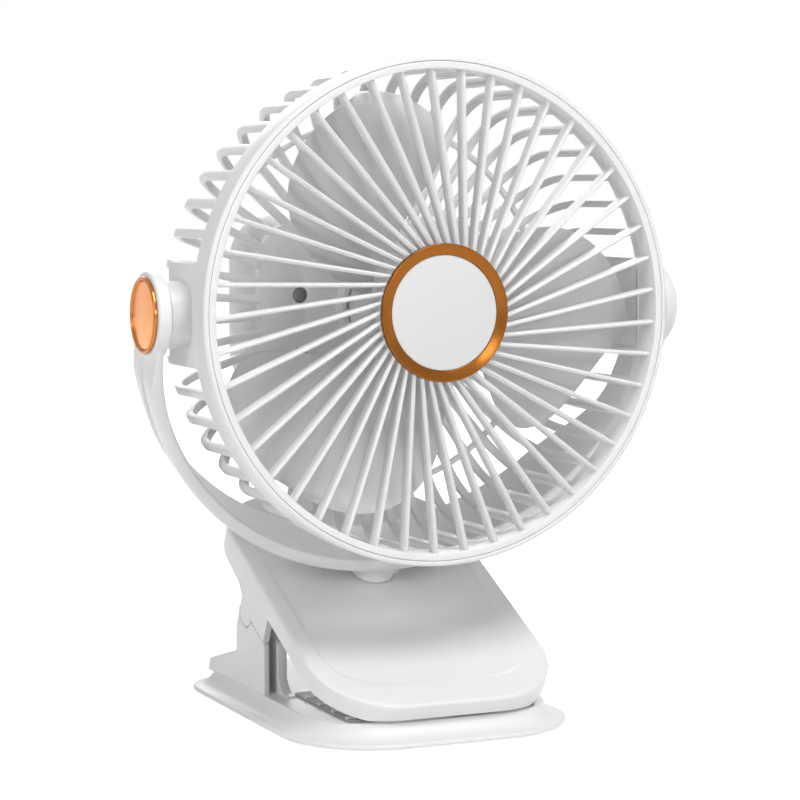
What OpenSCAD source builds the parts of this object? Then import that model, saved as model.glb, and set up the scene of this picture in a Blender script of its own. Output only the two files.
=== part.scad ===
// Portable clip-on fan: a caged head on a tilting yoke, which swivels on a squeeze clip.
// The clip is also its stand.
// The tilt axis runs along X, straight above the origin, and the fan blows towards -Y.
// The origin is on the underside. The head, the lid and the yoke are each drawn in a frame of their own.

/* [Cage rim] */
// Outer radius of the cage rim
rim_r = 92; // [90:0.5:98]
// Wall thickness of the cage rim
rim_wall = 1.9; // [1.6:0.1:2.4]
// Distance of the rim's front face ahead of the tilt axis
rim_front = 28; // [26:0.5:32]
// Depth of the rim from front to back
rim_depth = 13; // [11:0.5:15]
// Rounding of the rim's front edge
rim_edge_r = 1.4; // [0.8:0.1:1.6]
// Height of the ledge that the grille rests on
ledge_h = 4.6; // [3:0.2:6]

/* [Front grille] */
// Width of the grille's outer ring, seen from the front
grille_ring_w = 2.6; // [2:0.1:4]
// Number of grille ribs
grille_ribs = 45; // [30:1:50]
// Width of a grille rib
grille_rib_w = 1.55; // [1.2:0.05:2.2]
// Depth of a grille rib
grille_rib_d = 6; // [4:0.5:7]
// Height of the ridge on a grille rib
grille_ridge_h = 1.2; // [0.6:0.1:2]
// How far the rib ridges lie behind the rim's face
grille_rib_sink = 0.9; // [0.5:0.1:2]
// Sideways offset of each rib from the centre
grille_rib_offset = 10; // [0:0.5:14]
// Angle of the first rib
grille_rib_start = 11.14; // [0:0.01:20]

/* [Hub cover] */
// Outer radius of the trim ring
trim_r = 25; // [22:0.5:30]
// Width of the trim ring
trim_w = 4.1; // [3:0.1:6]
// Height of the trim ring at its outer edge
trim_h = 2.1; // [1.6:0.1:3]
// Drop of the trim ring from its outer edge to its inner edge
trim_slope = 0.9; // [0.3:0.1:1.4]
// How far the trim ring stands ahead of the rim's face
trim_proud = 0.9; // [0:0.1:2]
// Wall thickness of the grille's hub
hub_wall = 2; // [1.6:0.1:3]

/* [Rear cage] */
// Distance of the cage's back face behind the tilt axis
cage_back = 37.5; // [35:0.5:41]
// Number of rear ribs
cage_ribs = 48; // [36:4:56]
// Width of a rear rib
cage_rib_w = 3; // [2:0.1:3.6]
// Depth of a rear rib
cage_rib_d = 3; // [2.4:0.1:4]
// Radius of the bend in the rear ribs
cage_corner_r = 19.5; // [15:0.5:22]
// Radius of the ring that ties the rear ribs
cage_ring_r = 70; // [62:0.5:76]
// Width of that ring
cage_ring_w = 2.2; // [1.6:0.1:3]

/* [Tilt joint] */
// Half the height of the side pads
pad_half_h = 18.7; // [14:0.1:20]
// Length of the side pads from front to back
pad_len = 30; // [26:0.5:34]
// Thickness of the side pads
pad_t = 3.6; // [3:0.1:4]
// Radius of the pivot necks
neck_r = 12; // [9:0.5:14]
// Length of the pivot necks
neck_len = 8; // [6:0.5:9]
// Thickness of the friction washers
friction_washer_t = 0.75; // [0.5:0.05:1.5]
// Radius of the pivot screws
pivot_r = 3; // [2:0.1:4]
// Radius of the pivot screw heads
pivot_head_r = 5.6; // [5:0.1:6.4]
// Thickness of the pivot screw heads
pivot_head_t = 2.1; // [1.6:0.1:2.4]
// Radius of the pivot caps
pivot_cap_r = 13.7; // [11:0.1:15]
// Height of the pivot caps
pivot_cap_t = 1.4; // [1.2:0.1:2.4]

/* [Yoke] */
// Gap between the turning head and the yoke
yoke_gap = 4.2; // [3:0.1:8]
// Thickness of the yoke's band
yoke_t = 5; // [4:0.1:7]
// Width of the yoke's arms
yoke_w = 17; // [14:0.5:18]
// Radius of the yoke's bosses
yoke_boss_r = 15.56; // [14.4:0.02:18]
// Thickness of the yoke's bosses
yoke_boss_t = 4.8; // [4.4:0.1:7]
// How far the bosses stand out from the arms
boss_proud = 1.2; // [0.6:0.1:1.6]
// Angle at which the yoke leans back
yoke_lean = 20; // [14:0.5:24]
// How far below the tilt axis the arms reach their narrow width
yoke_taper = 40; // [34:1:60]
// Distance of the band's rear edge from its middle line, at the bottom
yoke_rear_w = 21; // [14:0.5:23]
// Length of the leaf-shaped recess in each arm
leaf_len = 44; // [30:1:48]
// Width of that recess
leaf_w = 6.5; // [4:0.5:8]

/* [Swivel] */
// Radius of the yoke's foot
foot_r = 8.5; // [8:0.5:12]
// Space between the yoke's band and the plane of the lid's rim
foot_space = 3.4; // [3:0.1:8]
// Radius of the swivel spigot
spigot_r = 7; // [5.5:0.5:8]
// Depth of the lid's swivel boss, from the lid's rim
swivel_boss_depth = 5; // [4.6:0.1:5.4]

/* [Lid] */
// Slope of the lid
lid_slope = 25.7; // [22:0.1:28]
// Height of the lid's top above the origin
lid_z = 33.9; // [32:0.1:40]
// Half the width of the lid
lid_half_w = 47.9; // [45:0.1:52]
// Distance of the lid's front edge from the origin, along the slope
lid_front = 43.8; // [42:0.1:46]
// Distance of the lid's rear edge from the origin, along the slope
lid_rear = 99; // [94:0.5:103]
// Radius of the lid's front corners
lid_front_r = 30; // [24:0.5:34]
// Radius of the lid's rear corners
lid_rear_r = 27; // [20:0.5:32]
// Rounding of the lid's rim
lid_edge_r = 1.2; // [0.6:0.1:2.4]
// Thickness of the lid's side walls
wall_t = 2.4; // [2:0.1:3]
// Thickness of the lid's top
lid_top_t = 3; // [2.6:0.1:3.4]
// Depth of the lid's side walls
lid_depth = 8; // [7.8:0.1:9]
// Depth of the sunk panel
panel_sink = 0.9; // [0.4:0.1:1.2]
// Width of the rim beside and behind the sunk panel
panel_rim = 7; // [5:0.2:9]
// Width of the rim ahead of the sunk panel
panel_front_rim = 14.2; // [8:0.2:16]
// Radius of the panel's front corners
panel_front_r = 20; // [12:0.5:24]
// Thickness of the liner under the lid
liner_t = 1.8; // [1.4:0.1:2]

/* [Hinge of the clip] */
// Place of the hinge along the lid's slope
hinge_u = 46.17; // [44:0.01:50]
// Depth of the hinge below the lid
hinge_drop = 18.2; // [17:0.1:20]
// Radius of the hinge pin
hinge_pin_r = 2; // [1.5:0.1:2.6]
// Radius of the knuckles
knuckle_r = 6; // [5:0.1:6.4]
// Thickness of the hinge ears
ear_t = 4; // [3:0.1:4.2]
// Start of the cheek tab along the lid's slope
tab_front = 25.5; // [22:0.5:30]
// Distance of the seam below the hinge axis
seam_drop = 0.5; // [0.2:0.1:1]
// Largest opening angle of the clip
clip_open = 25; // [15:1:27]

/* [Base] */
// Distance of the base's front edge ahead of the origin
base_front = 43.4; // [42:0.1:48]
// Length of the base
base_len = 147.4; // [140:0.1:156]
// Width of the flange outside the base's side walls
skirt_w = 8.5; // [6:0.1:11]
// Thickness of the flange at its edge
flange_t = 2; // [1.6:0.1:3]
// Height of the base's floor
floor_z = 8.3; // [7.6:0.1:8.6]
// Thickness of the base's floor
floor_t = 2.2; // [1.8:0.1:2.6]
// Radius of the base's front corners
base_front_r = 36; // [32:0.5:40]
// Radius of the base's rear corners
base_rear_r = 22; // [18:0.5:26]
// Start of the cheeks behind the origin
cheek_front = 30.3; // [28:0.1:34]
// Rear edge of the cheeks behind the origin
cheek_rear = 60; // [59:0.1:63]
// Height of the rear edge of the cheeks
cheek_rear_z = 30.4; // [26:0.1:32]
// Height of the rear fins where they leave the cheeks
fin_z = 21; // [14:0.5:24]
// Length of the rear fins behind the cheeks
fin_len = 32; // [20:1:34]
// Height of the rear fins at their rear end
fin_end_z = 12.5; // [10:0.5:14]
// Height of the front edge of the hinge posts
post_front_z = 27; // [20:0.5:30]
// Length of the gusset ahead of the hinge posts
gusset_len = 10; // [6:0.5:12]
// Height of that gusset
gusset_h = 5.6; // [3:0.2:8]
// Thickness of the rubber sheet under the base
pad_sheet_t = 0.9; // [0.6:0.1:1]
// Thickness of the cover under the base
cover_t = 1.5; // [1.2:0.1:2]

/* [Jaw pads] */
// Thickness of the jaw pads
jaw_pad_t = 1; // [0.6:0.1:1.2]
// Spacing of the bars on the lower pad
bar_pitch = 13; // [8:0.5:18]
// Width of a bar
bar_w = 2.2; // [1.4:0.1:3]
// Height of a bar above its pad
bar_h = 0.6; // [0.4:0.1:0.8]

/* [Housing] */
// Half the width of the housing at the cage
housing_half_w = 48; // [46:0.5:52]
// Half the height of the housing at the cage
housing_half_h = 32; // [30:0.5:36]
// Depth of the housing behind the cage
housing_depth = 22; // [21:0.5:28]
// How much each side of the housing flares towards the back
housing_flare = 3; // [1:0.1:4]
// Radius of the housing's corners
housing_corner_r = 15; // [10:0.5:18]
// Rounding of the housing's back edge
housing_edge_r = 3; // [2:0.1:4]
// Wall thickness of the housing
housing_wall = 2; // [1.6:0.1:2.4]
// Sideways distance of the housing screws from the middle
case_screw_x = 30.7; // [29:0.1:31]
// Height of the upper housing screws above the middle
case_screw_top = 4.5; // [2:0.5:9]
// Depth of the lower housing screws below the middle
case_screw_low = 18; // [14:0.5:22]

/* [Motor and cells] */
// Radius of the motor
motor_r = 14; // [12:0.5:16]
// Length of the motor
motor_len = 37.4; // [32:0.2:39]
// Radius of the motor shaft
shaft_r = 1.5; // [1:0.1:2]
// Radius of a cell
cell_r = 9.1; // [7:0.1:9.3]
// Length of a cell
cell_len = 44; // [38:0.5:44.5]

/* [Impeller] */
// Radius of the blade tips
blade_tip_r = 82; // [70:0.5:84]
// Outer radius of the impeller's hub
rotor_hub_r = 22; // [20:0.5:26]
// Wall thickness of the impeller's hub
rotor_hub_wall = 2; // [1.6:0.1:2.6]
// Distance of the impeller's front face ahead of the tilt axis
rotor_front = 12; // [10:0.5:13]
// Depth of the impeller's hub
rotor_depth = 20; // [16:0.5:22]
// Thickness of the blades
blade_t = 1.8; // [1.2:0.1:2.6]
// Depth of the blades at their tips
blade_tip_depth = 30; // [14:0.5:32]
// Number of blades
blade_count = 3; // [2:1:4]
// Half the angle that a blade covers at its widest
blade_half_angle = 39.5; // [24:0.5:42]

/* [Control] */
// Radius of the speed button
button_r = 6; // [4:0.2:7]
// Travel of the speed button
button_travel = 0.8; // [0.4:0.1:1]
// How far the speed button stands out
button_proud = 1.5; // [1.2:0.1:2]
// Sideways distance of the controls from the middle
control_x = 37; // [36.5:0.1:38]
// Depth of the button below the middle of the housing
button_low = 8; // [4:0.5:10]
// Radius of the indicator lens
lens_r = 1.6; // [1:0.1:2.4]

/* [Clearances] */
// Gap between pieces that move past each other
move_gap = 0.35; // [0.3:0.05:0.5]
// Gap between pieces that rest in each other
fit_gap = 0.15; // [0.1:0.05:0.3]
// Radial running clearance of a turning pin
run_gap = 0.05; // [0.02:0.01:0.1]
// Radial clearance of a pressed pin or screw
press_gap = 0.02; // [0.01:0.01:0.04]

/* [Hidden] */
$fn = 64;
hull_fn = 32;
cut = 0.5;

// Head and cage
rim_back = rim_front - rim_depth;
grille_r = rim_r - rim_wall - fit_gap;
grille_inner_r = grille_r - grille_ring_w;
rib_front = rim_front - grille_rib_sink;
trim_front = rim_front + trim_proud;
trim_back = trim_front - trim_h;
trim_inner_r = trim_r - trim_w;
grille_hub_r = trim_r - 0.5;
hub_floor_t = 2;
cap_t = trim_h - trim_slope - 0.2;
cap_pin_r = 2;
cap_pin_len = 1.6;
cage_side_r = rim_r - rim_wall;
cage_rib_back = cage_back - 0.2;
plate_t = 3;
plate_front = cage_back - plate_t;
pad_outer_x = rim_r * cos(asin(pad_half_h / rim_r)) - 0.15;
neck_end = pad_outer_x + neck_len;
boss_inner_x = neck_end + friction_washer_t + 0.25;
boss_outer_x = boss_inner_x + yoke_boss_t;
counterbore_r = pivot_head_r + 2.4;
counterbore_x = boss_outer_x - 3;
pivot_head_x = counterbore_x + 0.1;

// Yoke and swivel
head_reach = norm([rim_r, rim_front]);
yoke_inner_r = head_reach + yoke_gap;
yoke_outer_r = yoke_inner_r + yoke_t;
tilt_z = lid_z + (yoke_outer_r + foot_space) / cos(lid_slope);
foot_u = yoke_outer_r * sin(yoke_lean) * cos(lid_slope)
       + (tilt_z - yoke_outer_r * cos(yoke_lean) - lid_z) * sin(lid_slope);
swivel_screw_r = 1.6;
swivel_head_r = 3.2;
swivel_head_t = 1.6;
swivel_washer_t = 0.75;

// Lid: u runs up the slope and w stands square to it, from the lid's top at the origin
tab_depth = hinge_drop + seam_drop;
liner_drop = lid_depth - liner_t;
liner_front = lid_front - 8.8;
liner_gap = 0.3;
hinge_y = hinge_u * cos(lid_slope) + hinge_drop * sin(lid_slope);
hinge_z = lid_z + hinge_u * sin(lid_slope) - hinge_drop * cos(lid_slope);
seat_r = knuckle_r + move_gap;
notch_angle = clip_open + 1.3;
notch_reach = 2.13 * knuckle_r;
lid_foot_z = floor_z + 0.9;
liner_ear_x = 33;
base_ear_x = liner_ear_x + ear_t + 1;
ear_half_foot = knuckle_r + 3;
liner_screw_spots = [[34, -12], [-34, -12], [30, lid_rear - 20], [-30, lid_rear - 20]];
upper_pad_half_w = 0.75 * lid_half_w;
upper_pad_front = liner_front - 1.5;
upper_pad_len = 0.41 * lid_front;
upper_pad_corner_r = 0.47 * lid_front_r;

// Base
flange_z = 0.3;
base_half_w = lid_half_w + skirt_w;
base_rear = base_len - base_front;
skirt_rise = floor_z - flange_z - flange_t;
skirt_arc_r = (skirt_w * skirt_w + skirt_rise * skirt_rise) / (2 * skirt_rise);
hollow_inset = skirt_w + 3.9;
cover_z = pad_sheet_t;
hollow_z = floor_z - floor_t;
base_screw_x = base_half_w - hollow_inset - 10;
base_screw_front = base_front - hollow_inset - 13;
base_screw_rear = base_rear - hollow_inset - 13;
base_screw_spots = [[base_screw_x, -base_screw_front], [-base_screw_x, -base_screw_front],
                    [base_screw_x, base_screw_rear], [-base_screw_x, base_screw_rear]];
base_screw_len = 0.41 * floor_z;
base_screw_head_t = 0.9;
post_front = cheek_front + 1;
lower_pad_front = base_front - 15.4;
lower_pad_rear = cheek_front - 4.3;
lower_pad_half_w = base_ear_x - 0.3;
fin_rear = cheek_rear + fin_len;

// Housing, seen in the head's own frame, where z runs forwards
housing_back = cage_back + housing_depth;
screw_r = 1.25;
screw_head_r = 2.6;
case_hole_r = 2.95;
case_screw_len = 0.4 * housing_depth;
case_boss_r = 3.4;
case_spots = [[case_screw_x, case_screw_top], [-case_screw_x, case_screw_top],
              [case_screw_x, -case_screw_low], [-case_screw_x, -case_screw_low]];
cell_y = cage_back + 1 + cell_r;
cell_z = cell_r + 0.3;
board_y = housing_back - 7.5;
board_t = 1.6;
board_half_h = housing_half_h - 7;
lens_high = board_half_h - 9;
board_in_x = 24.8;
board_out_x = housing_half_w - housing_wall - 1.5;
switch_t = 2;
socket_w = 9;
socket_t = 3.2;
socket_top = -board_half_h + 2;

// Motor and rotor
motor_back = -plate_front + 0.1;
motor_front = motor_back + motor_len;
can_t = 1;
end_t = 1.4;
bearing_r = 3;
bearing_len = 3;
magnet_t = 0.23 * motor_r;
armature_back = motor_back + 0.2 * motor_len;
armature_len = 0.6 * motor_len;
motor_screw_z = 8.5;
motor_screw_r = 1;
shaft_front = rotor_front - 2.5;

// Blades: steps along the span and across the chord
blade_rows = 11;
blade_cols = 9;
blade_root_r = rotor_hub_r - 1.2;
blade_wide_r = 0.6 * blade_tip_r;

// ---------- frames and small shapes ----------

// Head frame: x to the right, y up, z forwards, from the tilt axis
module in_head() translate([0, 0, tilt_z]) rotate([90, 0, 0]) children();

// Yoke frame: z up the arms, leaning back
module in_yoke() translate([0, 0, tilt_z]) rotate([yoke_lean, 0, 0]) children();

// Lid frame: y up the slope, z square to the lid
module in_lid() translate([0, 0, lid_z]) rotate([lid_slope, 0, 0]) children();

// Draws its children twice, once on each side of the middle plane
module both_sides() {
    children();
    mirror([1, 0, 0]) children();
}

// A side-view outline made into a plate that runs along X
module side_plate(from_x, to_x)
    translate([from_x, 0, 0]) rotate([90, 0, 90]) linear_extrude(to_x - from_x) children();

// A bar or bore along X
module rod_x(r, from_x, to_x)
    translate([from_x, 0, 0]) rotate([0, 90, 0]) cylinder(r = r, h = to_x - from_x);

// A ring or disc along the local z axis
module ring(outer_r, inner_r, back, front) translate([0, 0, back]) difference() {
    cylinder(r = outer_r, h = front - back);
    translate([0, 0, -cut]) cylinder(r = inner_r, h = front - back + 2 * cut);
}

module disc(r, back, front) translate([0, 0, back]) cylinder(r = r, h = front - back);

// A rounded rectangle, given by its half-width, its two ends and the corner radii at those ends
module rounded_outline(half_w, start, end, start_r, end_r) union() {
    translate([-half_w + start_r, start]) square([2 * (half_w - start_r), end - start]);
    translate([-half_w, start + start_r]) square([2 * half_w, end - start - start_r - end_r]);
    translate([-half_w + end_r, end - end_r - cut]) square([2 * (half_w - end_r), end_r + cut]);
    for (side = [-1, 1]) {
        translate([side * (half_w - start_r), start + start_r]) circle(start_r);
        translate([side * (half_w - end_r), end - end_r]) circle(end_r);
    }
}

// A pan-head screw along the local z axis: its head's top is at z = 0 and it points to -z
module screw(shank_r, shank_len, head_r, head_t) {
    translate([0, 0, -head_t]) cylinder(r = head_r, h = head_t);
    translate([0, 0, -head_t - shank_len]) cylinder(r = shank_r, h = shank_len);
}

// ---------- front grille ----------

module grille_rib() {
    start = sqrt(pow(grille_hub_r - 0.9, 2) - pow(grille_rib_offset, 2));
    end = sqrt(pow(grille_inner_r + 1, 2) - pow(grille_rib_offset, 2));
    half = grille_rib_w / 2;
    shoulder = grille_rib_d - grille_ridge_h;
    translate([0, -grille_rib_offset, rib_front - grille_rib_d]) side_plate(start, end)
        polygon([[-half, 0], [half, 0], [half, shoulder], [0, grille_rib_d], [-half, shoulder]]);
}

module grille_outer_ring() rotate_extrude() {
    ring_back = rim_back + ledge_h;
    bevel = grille_ring_w / 5;
    polygon([[grille_inner_r, ring_back], [grille_r, ring_back], [grille_r, rim_front - bevel],
             [grille_r - bevel, rim_front], [grille_inner_r + bevel, rim_front],
             [grille_inner_r, rim_front - bevel]]);
}

// The hub: a cup open to the back, with a hole for the cap's pin in its floor
module grille_hub() rotate_extrude() {
    floor_back = trim_back - hub_floor_t;
    rib_back = rib_front - grille_rib_d;
    polygon([[cap_pin_r + press_gap, floor_back], [grille_hub_r - hub_wall, floor_back],
             [grille_hub_r - hub_wall, rib_back - 1], [grille_hub_r, rib_back - 1],
             [grille_hub_r, trim_back], [cap_pin_r + press_gap, trim_back]]);
}

// The ribs stop short of the trim ring's seat
module front_grille() color("white") in_head() difference() {
    union() {
        grille_outer_ring();
        grille_hub();
        for (k = [0 : grille_ribs - 1]) rotate([0, 0, grille_rib_start + k * 360 / grille_ribs]) grille_rib();
    }
    disc(trim_r + fit_gap, trim_back, rim_front);
}

module hub_trim_ring() color("peru") in_head() rotate_extrude()
    polygon([[trim_inner_r, trim_back], [trim_r, trim_back], [trim_r, trim_front - 0.3],
             [trim_r - 0.3, trim_front], [trim_inner_r, trim_front - trim_slope]]);

module hub_cap() color("gainsboro") in_head() {
    disc(trim_inner_r - press_gap, trim_back, trim_back + cap_t);
    disc(cap_pin_r, trim_back - cap_pin_len, trim_back);
}

// ---------- rear cage ----------

// One bent rib in the plane of its radius: x is the radius and y runs forwards
module cage_rib_outline() {
    inner_side = cage_side_r - cage_rib_d;
    inner_corner_r = cage_corner_r - cage_rib_d;
    bend_r = cage_side_r - cage_corner_r;
    bend_y = -cage_rib_back + cage_corner_r;
    translate([inner_side, bend_y]) square([cage_rib_d, rim_back - bend_y + 1]);
    translate([housing_half_h - 3, -cage_rib_back]) square([bend_r - housing_half_h + 3, cage_rib_d]);
    intersection() {
        translate([bend_r, bend_y]) difference() {
            circle(cage_corner_r);
            circle(inner_corner_r);
        }
        translate([bend_r, bend_y - cage_corner_r]) square(cage_corner_r);
    }
}

module cage_rib()
    translate([0, cage_rib_w / 2, 0]) rotate([90, 0, 0]) linear_extrude(cage_rib_w) cage_rib_outline();

// The rim's wall with its rounded front edge, and the ledge behind the grille
module cage_rim() rotate_extrude() {
    intersection() {
        translate([rim_r - rim_wall, rim_back]) square([rim_wall, rim_depth]);
        union() {
            translate([0, rim_back]) square([rim_r, rim_depth - rim_edge_r]);
            translate([0, rim_back]) square([rim_r - rim_edge_r, rim_depth]);
            translate([rim_r - rim_edge_r, rim_front - rim_edge_r]) circle(rim_edge_r);
        }
    }
    translate([grille_inner_r, rim_back])
        square([rim_r - grille_inner_r - rim_wall / 2, ledge_h - fit_gap]);
}

module housing_outline(inset) rounded_outline(housing_half_w - inset, -housing_half_h + inset,
    housing_half_h - inset, housing_corner_r - inset, housing_corner_r - inset);

module rear_cage() color("white") in_head() difference() {
    union() {
        cage_rim();
        difference() {
            for (k = [0 : cage_ribs - 1]) rotate([0, 0, (k + 0.5) * 360 / cage_ribs]) cage_rib();
            translate([0, 0, -cage_back - cut]) linear_extrude(plate_t + 1) housing_outline(1);
        }
        ring(cage_ring_r + cage_ring_w / 2, cage_ring_r - cage_ring_w / 2,
            -cage_rib_back + 0.3, -cage_rib_back + cage_rib_d - 0.4);
        translate([0, 0, -cage_back]) linear_extrude(plate_t) housing_outline(0);
        ring(motor_r + 2.5, motor_r + fit_gap, -plate_front - cut, -plate_front + 6);
        both_sides() {
            translate([pad_outer_x - pad_t, -pad_half_h, rim_back - pad_len])
                cube([pad_t, 2 * pad_half_h, pad_len + cut]);
            rod_x(neck_r, pad_outer_x - pad_t / 2, neck_end);
        }
    }
    both_sides() rod_x(pivot_r + press_gap, pad_outer_x - pad_t - cut, neck_end + cut);
    for (spot = case_spots) translate([spot[0], spot[1], 0]) {
        disc(screw_r + 0.3, -cage_back - cut, -plate_front + cut);
        disc(case_hole_r, -cage_back + 1.2, -plate_front + cut);
    }
    for (side = [-1, 1]) translate([0, side * motor_screw_z, 0]) {
        disc(motor_screw_r + 0.1, -cage_back - cut, -plate_front + cut);
        disc(motor_screw_r + 1.1, -cage_back - cut, -cage_back + 1.5);
    }
}

module friction_washers() color("dimgray") in_head() both_sides() difference() {
    rod_x(neck_r, neck_end, neck_end + friction_washer_t);
    rod_x(pivot_r + press_gap, neck_end - cut, neck_end + friction_washer_t + cut);
}

module pivot_screws() color("silver") in_head() both_sides()
    translate([pivot_head_x + pivot_head_t, 0, 0]) rotate([0, 90, 0])
        screw(pivot_r, pivot_head_x - pad_outer_x + 2, pivot_head_r, pivot_head_t);

// ---------- housing on the back ----------

// Outer or inner form of the housing, pulled in by inset, between two depths
module housing_form(inset, front, back, edge_r) hull() {
    flare = housing_flare - inset;
    translate([0, 0, front - 0.1]) linear_extrude(0.1, $fn = hull_fn) housing_outline(inset);
    translate([0, 0, back + edge_r]) linear_extrude(0.1, $fn = hull_fn) housing_outline(-flare);
    translate([0, 0, back + edge_r * 0.3]) linear_extrude(0.1, $fn = hull_fn)
        housing_outline(-flare + edge_r * 0.3);
    translate([0, 0, back]) linear_extrude(0.1, $fn = hull_fn) housing_outline(-flare + edge_r);
}

module rear_housing() color("white") in_head() difference() {
    union() {
        difference() {
            housing_form(0, -cage_back, -housing_back, housing_edge_r);
            housing_form(housing_wall, -cage_back + cut, -housing_back + housing_wall, 1);
        }
        for (spot = case_spots) translate([spot[0], spot[1], 0])
            disc(case_boss_r, -housing_back + 1, -cage_back);
    }
    for (spot = case_spots) translate([spot[0], spot[1], 0])
        disc(screw_r + press_gap, -housing_back + 4, -cage_back + cut);
    translate([-control_x, -button_low, 0])
        disc(button_r + 0.3, -housing_back - cut, -housing_back + housing_wall + cut);
    translate([-control_x, lens_high, 0])
        disc(lens_r + fit_gap, -housing_back - cut, -housing_back + housing_wall + cut);
    translate([-control_x - socket_w / 2 - fit_gap, -housing_half_h - housing_flare - cut,
        -board_y - fit_gap])
        cube([socket_w + 2 * fit_gap, housing_wall + housing_flare + 3, socket_t + 2 * fit_gap]);
}

module housing_screws() color("silver") in_head() for (spot = case_spots)
    translate([spot[0], spot[1], -cage_back + 1.2 + 1.2]) screw(screw_r, case_screw_len, screw_head_r, 1.2);

module battery_cells() color("steelblue") in_head() for (side = [-1, 1])
    translate([0, side * cell_z, -cell_y]) rod_x(cell_r, -cell_len / 2, cell_len / 2);

module battery_tray() color("dimgray") in_head() {
    tray_x = cell_len / 2 + 0.3;
    tray_h = 2 * (cell_z + cell_r);
    tray_z = -cage_back - 0.1;
    translate([-tray_x - 1.4, -tray_h / 2, tray_z - 0.6]) cube([2 * tray_x + 2.8, tray_h, 0.6]);
    both_sides() translate([tray_x, -tray_h / 2, tray_z - cell_r - 3]) cube([1.4, tray_h, cell_r + 3]);
}

module control_board() color("seagreen") in_head() {
    difference() {
        translate([-board_out_x, -board_half_h, -board_y - board_t])
            cube([board_out_x - board_in_x, 2 * board_half_h, board_t]);
        for (spot = case_spots) translate([spot[0], spot[1], 0])
            disc(case_boss_r + 0.3, -board_y - board_t - cut, -board_y + cut);
    }
    translate([-control_x - 3, -button_low - 3, -board_y - board_t - switch_t]) cube([6, 6, switch_t]);
}

module charge_socket() color("silver") in_head()
    translate([-control_x - socket_w / 2, -housing_half_h - 1, -board_y]) difference() {
        cube([socket_w, housing_half_h + 1 + socket_top, socket_t]);
        translate([0.4, -cut, 0.4]) cube([socket_w - 0.8, 6 + cut, socket_t - 0.8]);
    }

module indicator_lens() color("lightcyan") in_head() translate([-control_x, lens_high, 0])
    disc(lens_r, -housing_back - 0.2, -board_y - board_t);

module speed_button() color("gainsboro") in_head() translate([-control_x, -button_low, 0]) {
    inner_face = -housing_back + housing_wall;
    disc(button_r, -housing_back - button_proud, inner_face + 0.3);
    disc(button_r + 1.2, inner_face + 0.3, inner_face + 0.9);
    disc(1.5, inner_face + 0.3, -board_y - board_t - switch_t - button_travel - 0.3);
}

// ---------- motor and rotor ----------

module motor_can() color("silver") in_head() difference() {
    disc(motor_r, motor_back, motor_front);
    disc(motor_r - can_t, motor_back + end_t, motor_front - end_t);
    disc(bearing_r + press_gap, motor_back - cut, motor_front + cut);
    for (side = [-1, 1]) translate([0, side * motor_screw_z, 0])
        disc(motor_screw_r + press_gap, motor_back - cut, motor_back + end_t + cut);
}

module motor_bearings() color("goldenrod") in_head() {
    ring(bearing_r, shaft_r + run_gap, motor_front - bearing_len, motor_front);
    ring(bearing_r, shaft_r + run_gap, motor_back, motor_back + bearing_len);
}

module motor_magnets() color("dimgray") in_head()
    ring(motor_r - can_t - press_gap, motor_r - can_t - magnet_t, armature_back,
        armature_back + armature_len);

module motor_screws() color("silver") in_head() for (side = [-1, 1])
    translate([0, side * motor_screw_z, -cage_back + 0.1]) mirror([0, 0, 1])
        screw(motor_screw_r, 3, motor_screw_r + 0.9, 1.3);

module motor_shaft() color("silver") in_head() disc(shaft_r, motor_back + 0.5, shaft_front);

module motor_rotor() color("saddlebrown") in_head()
    ring(motor_r - can_t - magnet_t - 0.6, shaft_r + press_gap, armature_back,
        armature_back + armature_len);

// Blade surface: a point for t along the span and c across the chord, each from 0 to 1
function blade_r(t) = blade_root_r + (blade_tip_r - blade_root_r) * (1 - pow(1 - t, 1.7));
function blade_mid(r) = -3.5 - 0.48 * (r - 50) + 0.0069 * pow(r - 50, 2);
function blade_fullness(r) = r > blade_wide_r
    ? pow(max(0.004, 1 - pow((r - blade_wide_r) / (blade_tip_r + 0.3 - blade_wide_r), 2.3)), 0.5)
    : 1 - 0.22 * pow((blade_wide_r - r) / (blade_wide_r - blade_root_r), 2);
function blade_angle(t, c) = blade_mid(blade_r(t))
    + (2 * c - 1) * blade_half_angle * blade_fullness(blade_r(t));
function blade_depth(t, c) = rotor_front - rotor_depth / 2
    + (2 * c - 1) * ((rotor_depth / 2 - blade_t) * (1 - t) + (blade_tip_depth - blade_t) / 2 * t)
    + 2.4 * sin(180 * c) * t;
function blade_point(t, c, side) = let (a = blade_angle(t, c), r = blade_r(t))
    [r * cos(a), r * sin(a), blade_depth(t, c) + side * blade_t / 2];

module blade() {
    rows = blade_rows - 1;
    cols = blade_cols - 1;
    points = [for (side = [1, -1]) for (i = [0 : rows]) for (j = [0 : cols])
        blade_point(i / rows, j / cols, side)];
    top = function (i, j) i * blade_cols + j;
    low = function (i, j) blade_rows * blade_cols + i * blade_cols + j;
    faces = concat(
        [for (i = [0 : rows - 1]) for (j = [0 : cols - 1]) each
            [[top(i, j), top(i, j + 1), top(i + 1, j + 1)], [top(i, j), top(i + 1, j + 1), top(i + 1, j)],
             [low(i, j), low(i + 1, j + 1), low(i, j + 1)], [low(i, j), low(i + 1, j), low(i + 1, j + 1)]]],
        [for (j = [0 : cols - 1]) each
            [[top(0, j), low(0, j), low(0, j + 1)], [top(0, j), low(0, j + 1), top(0, j + 1)],
             [top(rows, j), top(rows, j + 1), low(rows, j + 1)],
             [top(rows, j), low(rows, j + 1), low(rows, j)]]],
        [for (i = [0 : rows - 1]) each
            [[top(i, 0), top(i + 1, 0), low(i + 1, 0)], [top(i, 0), low(i + 1, 0), low(i, 0)],
             [top(i, cols), low(i, cols), low(i + 1, cols)],
             [top(i, cols), low(i + 1, cols), top(i + 1, cols)]]]);
    polyhedron(points, faces, convexity = 6);
}

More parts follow.
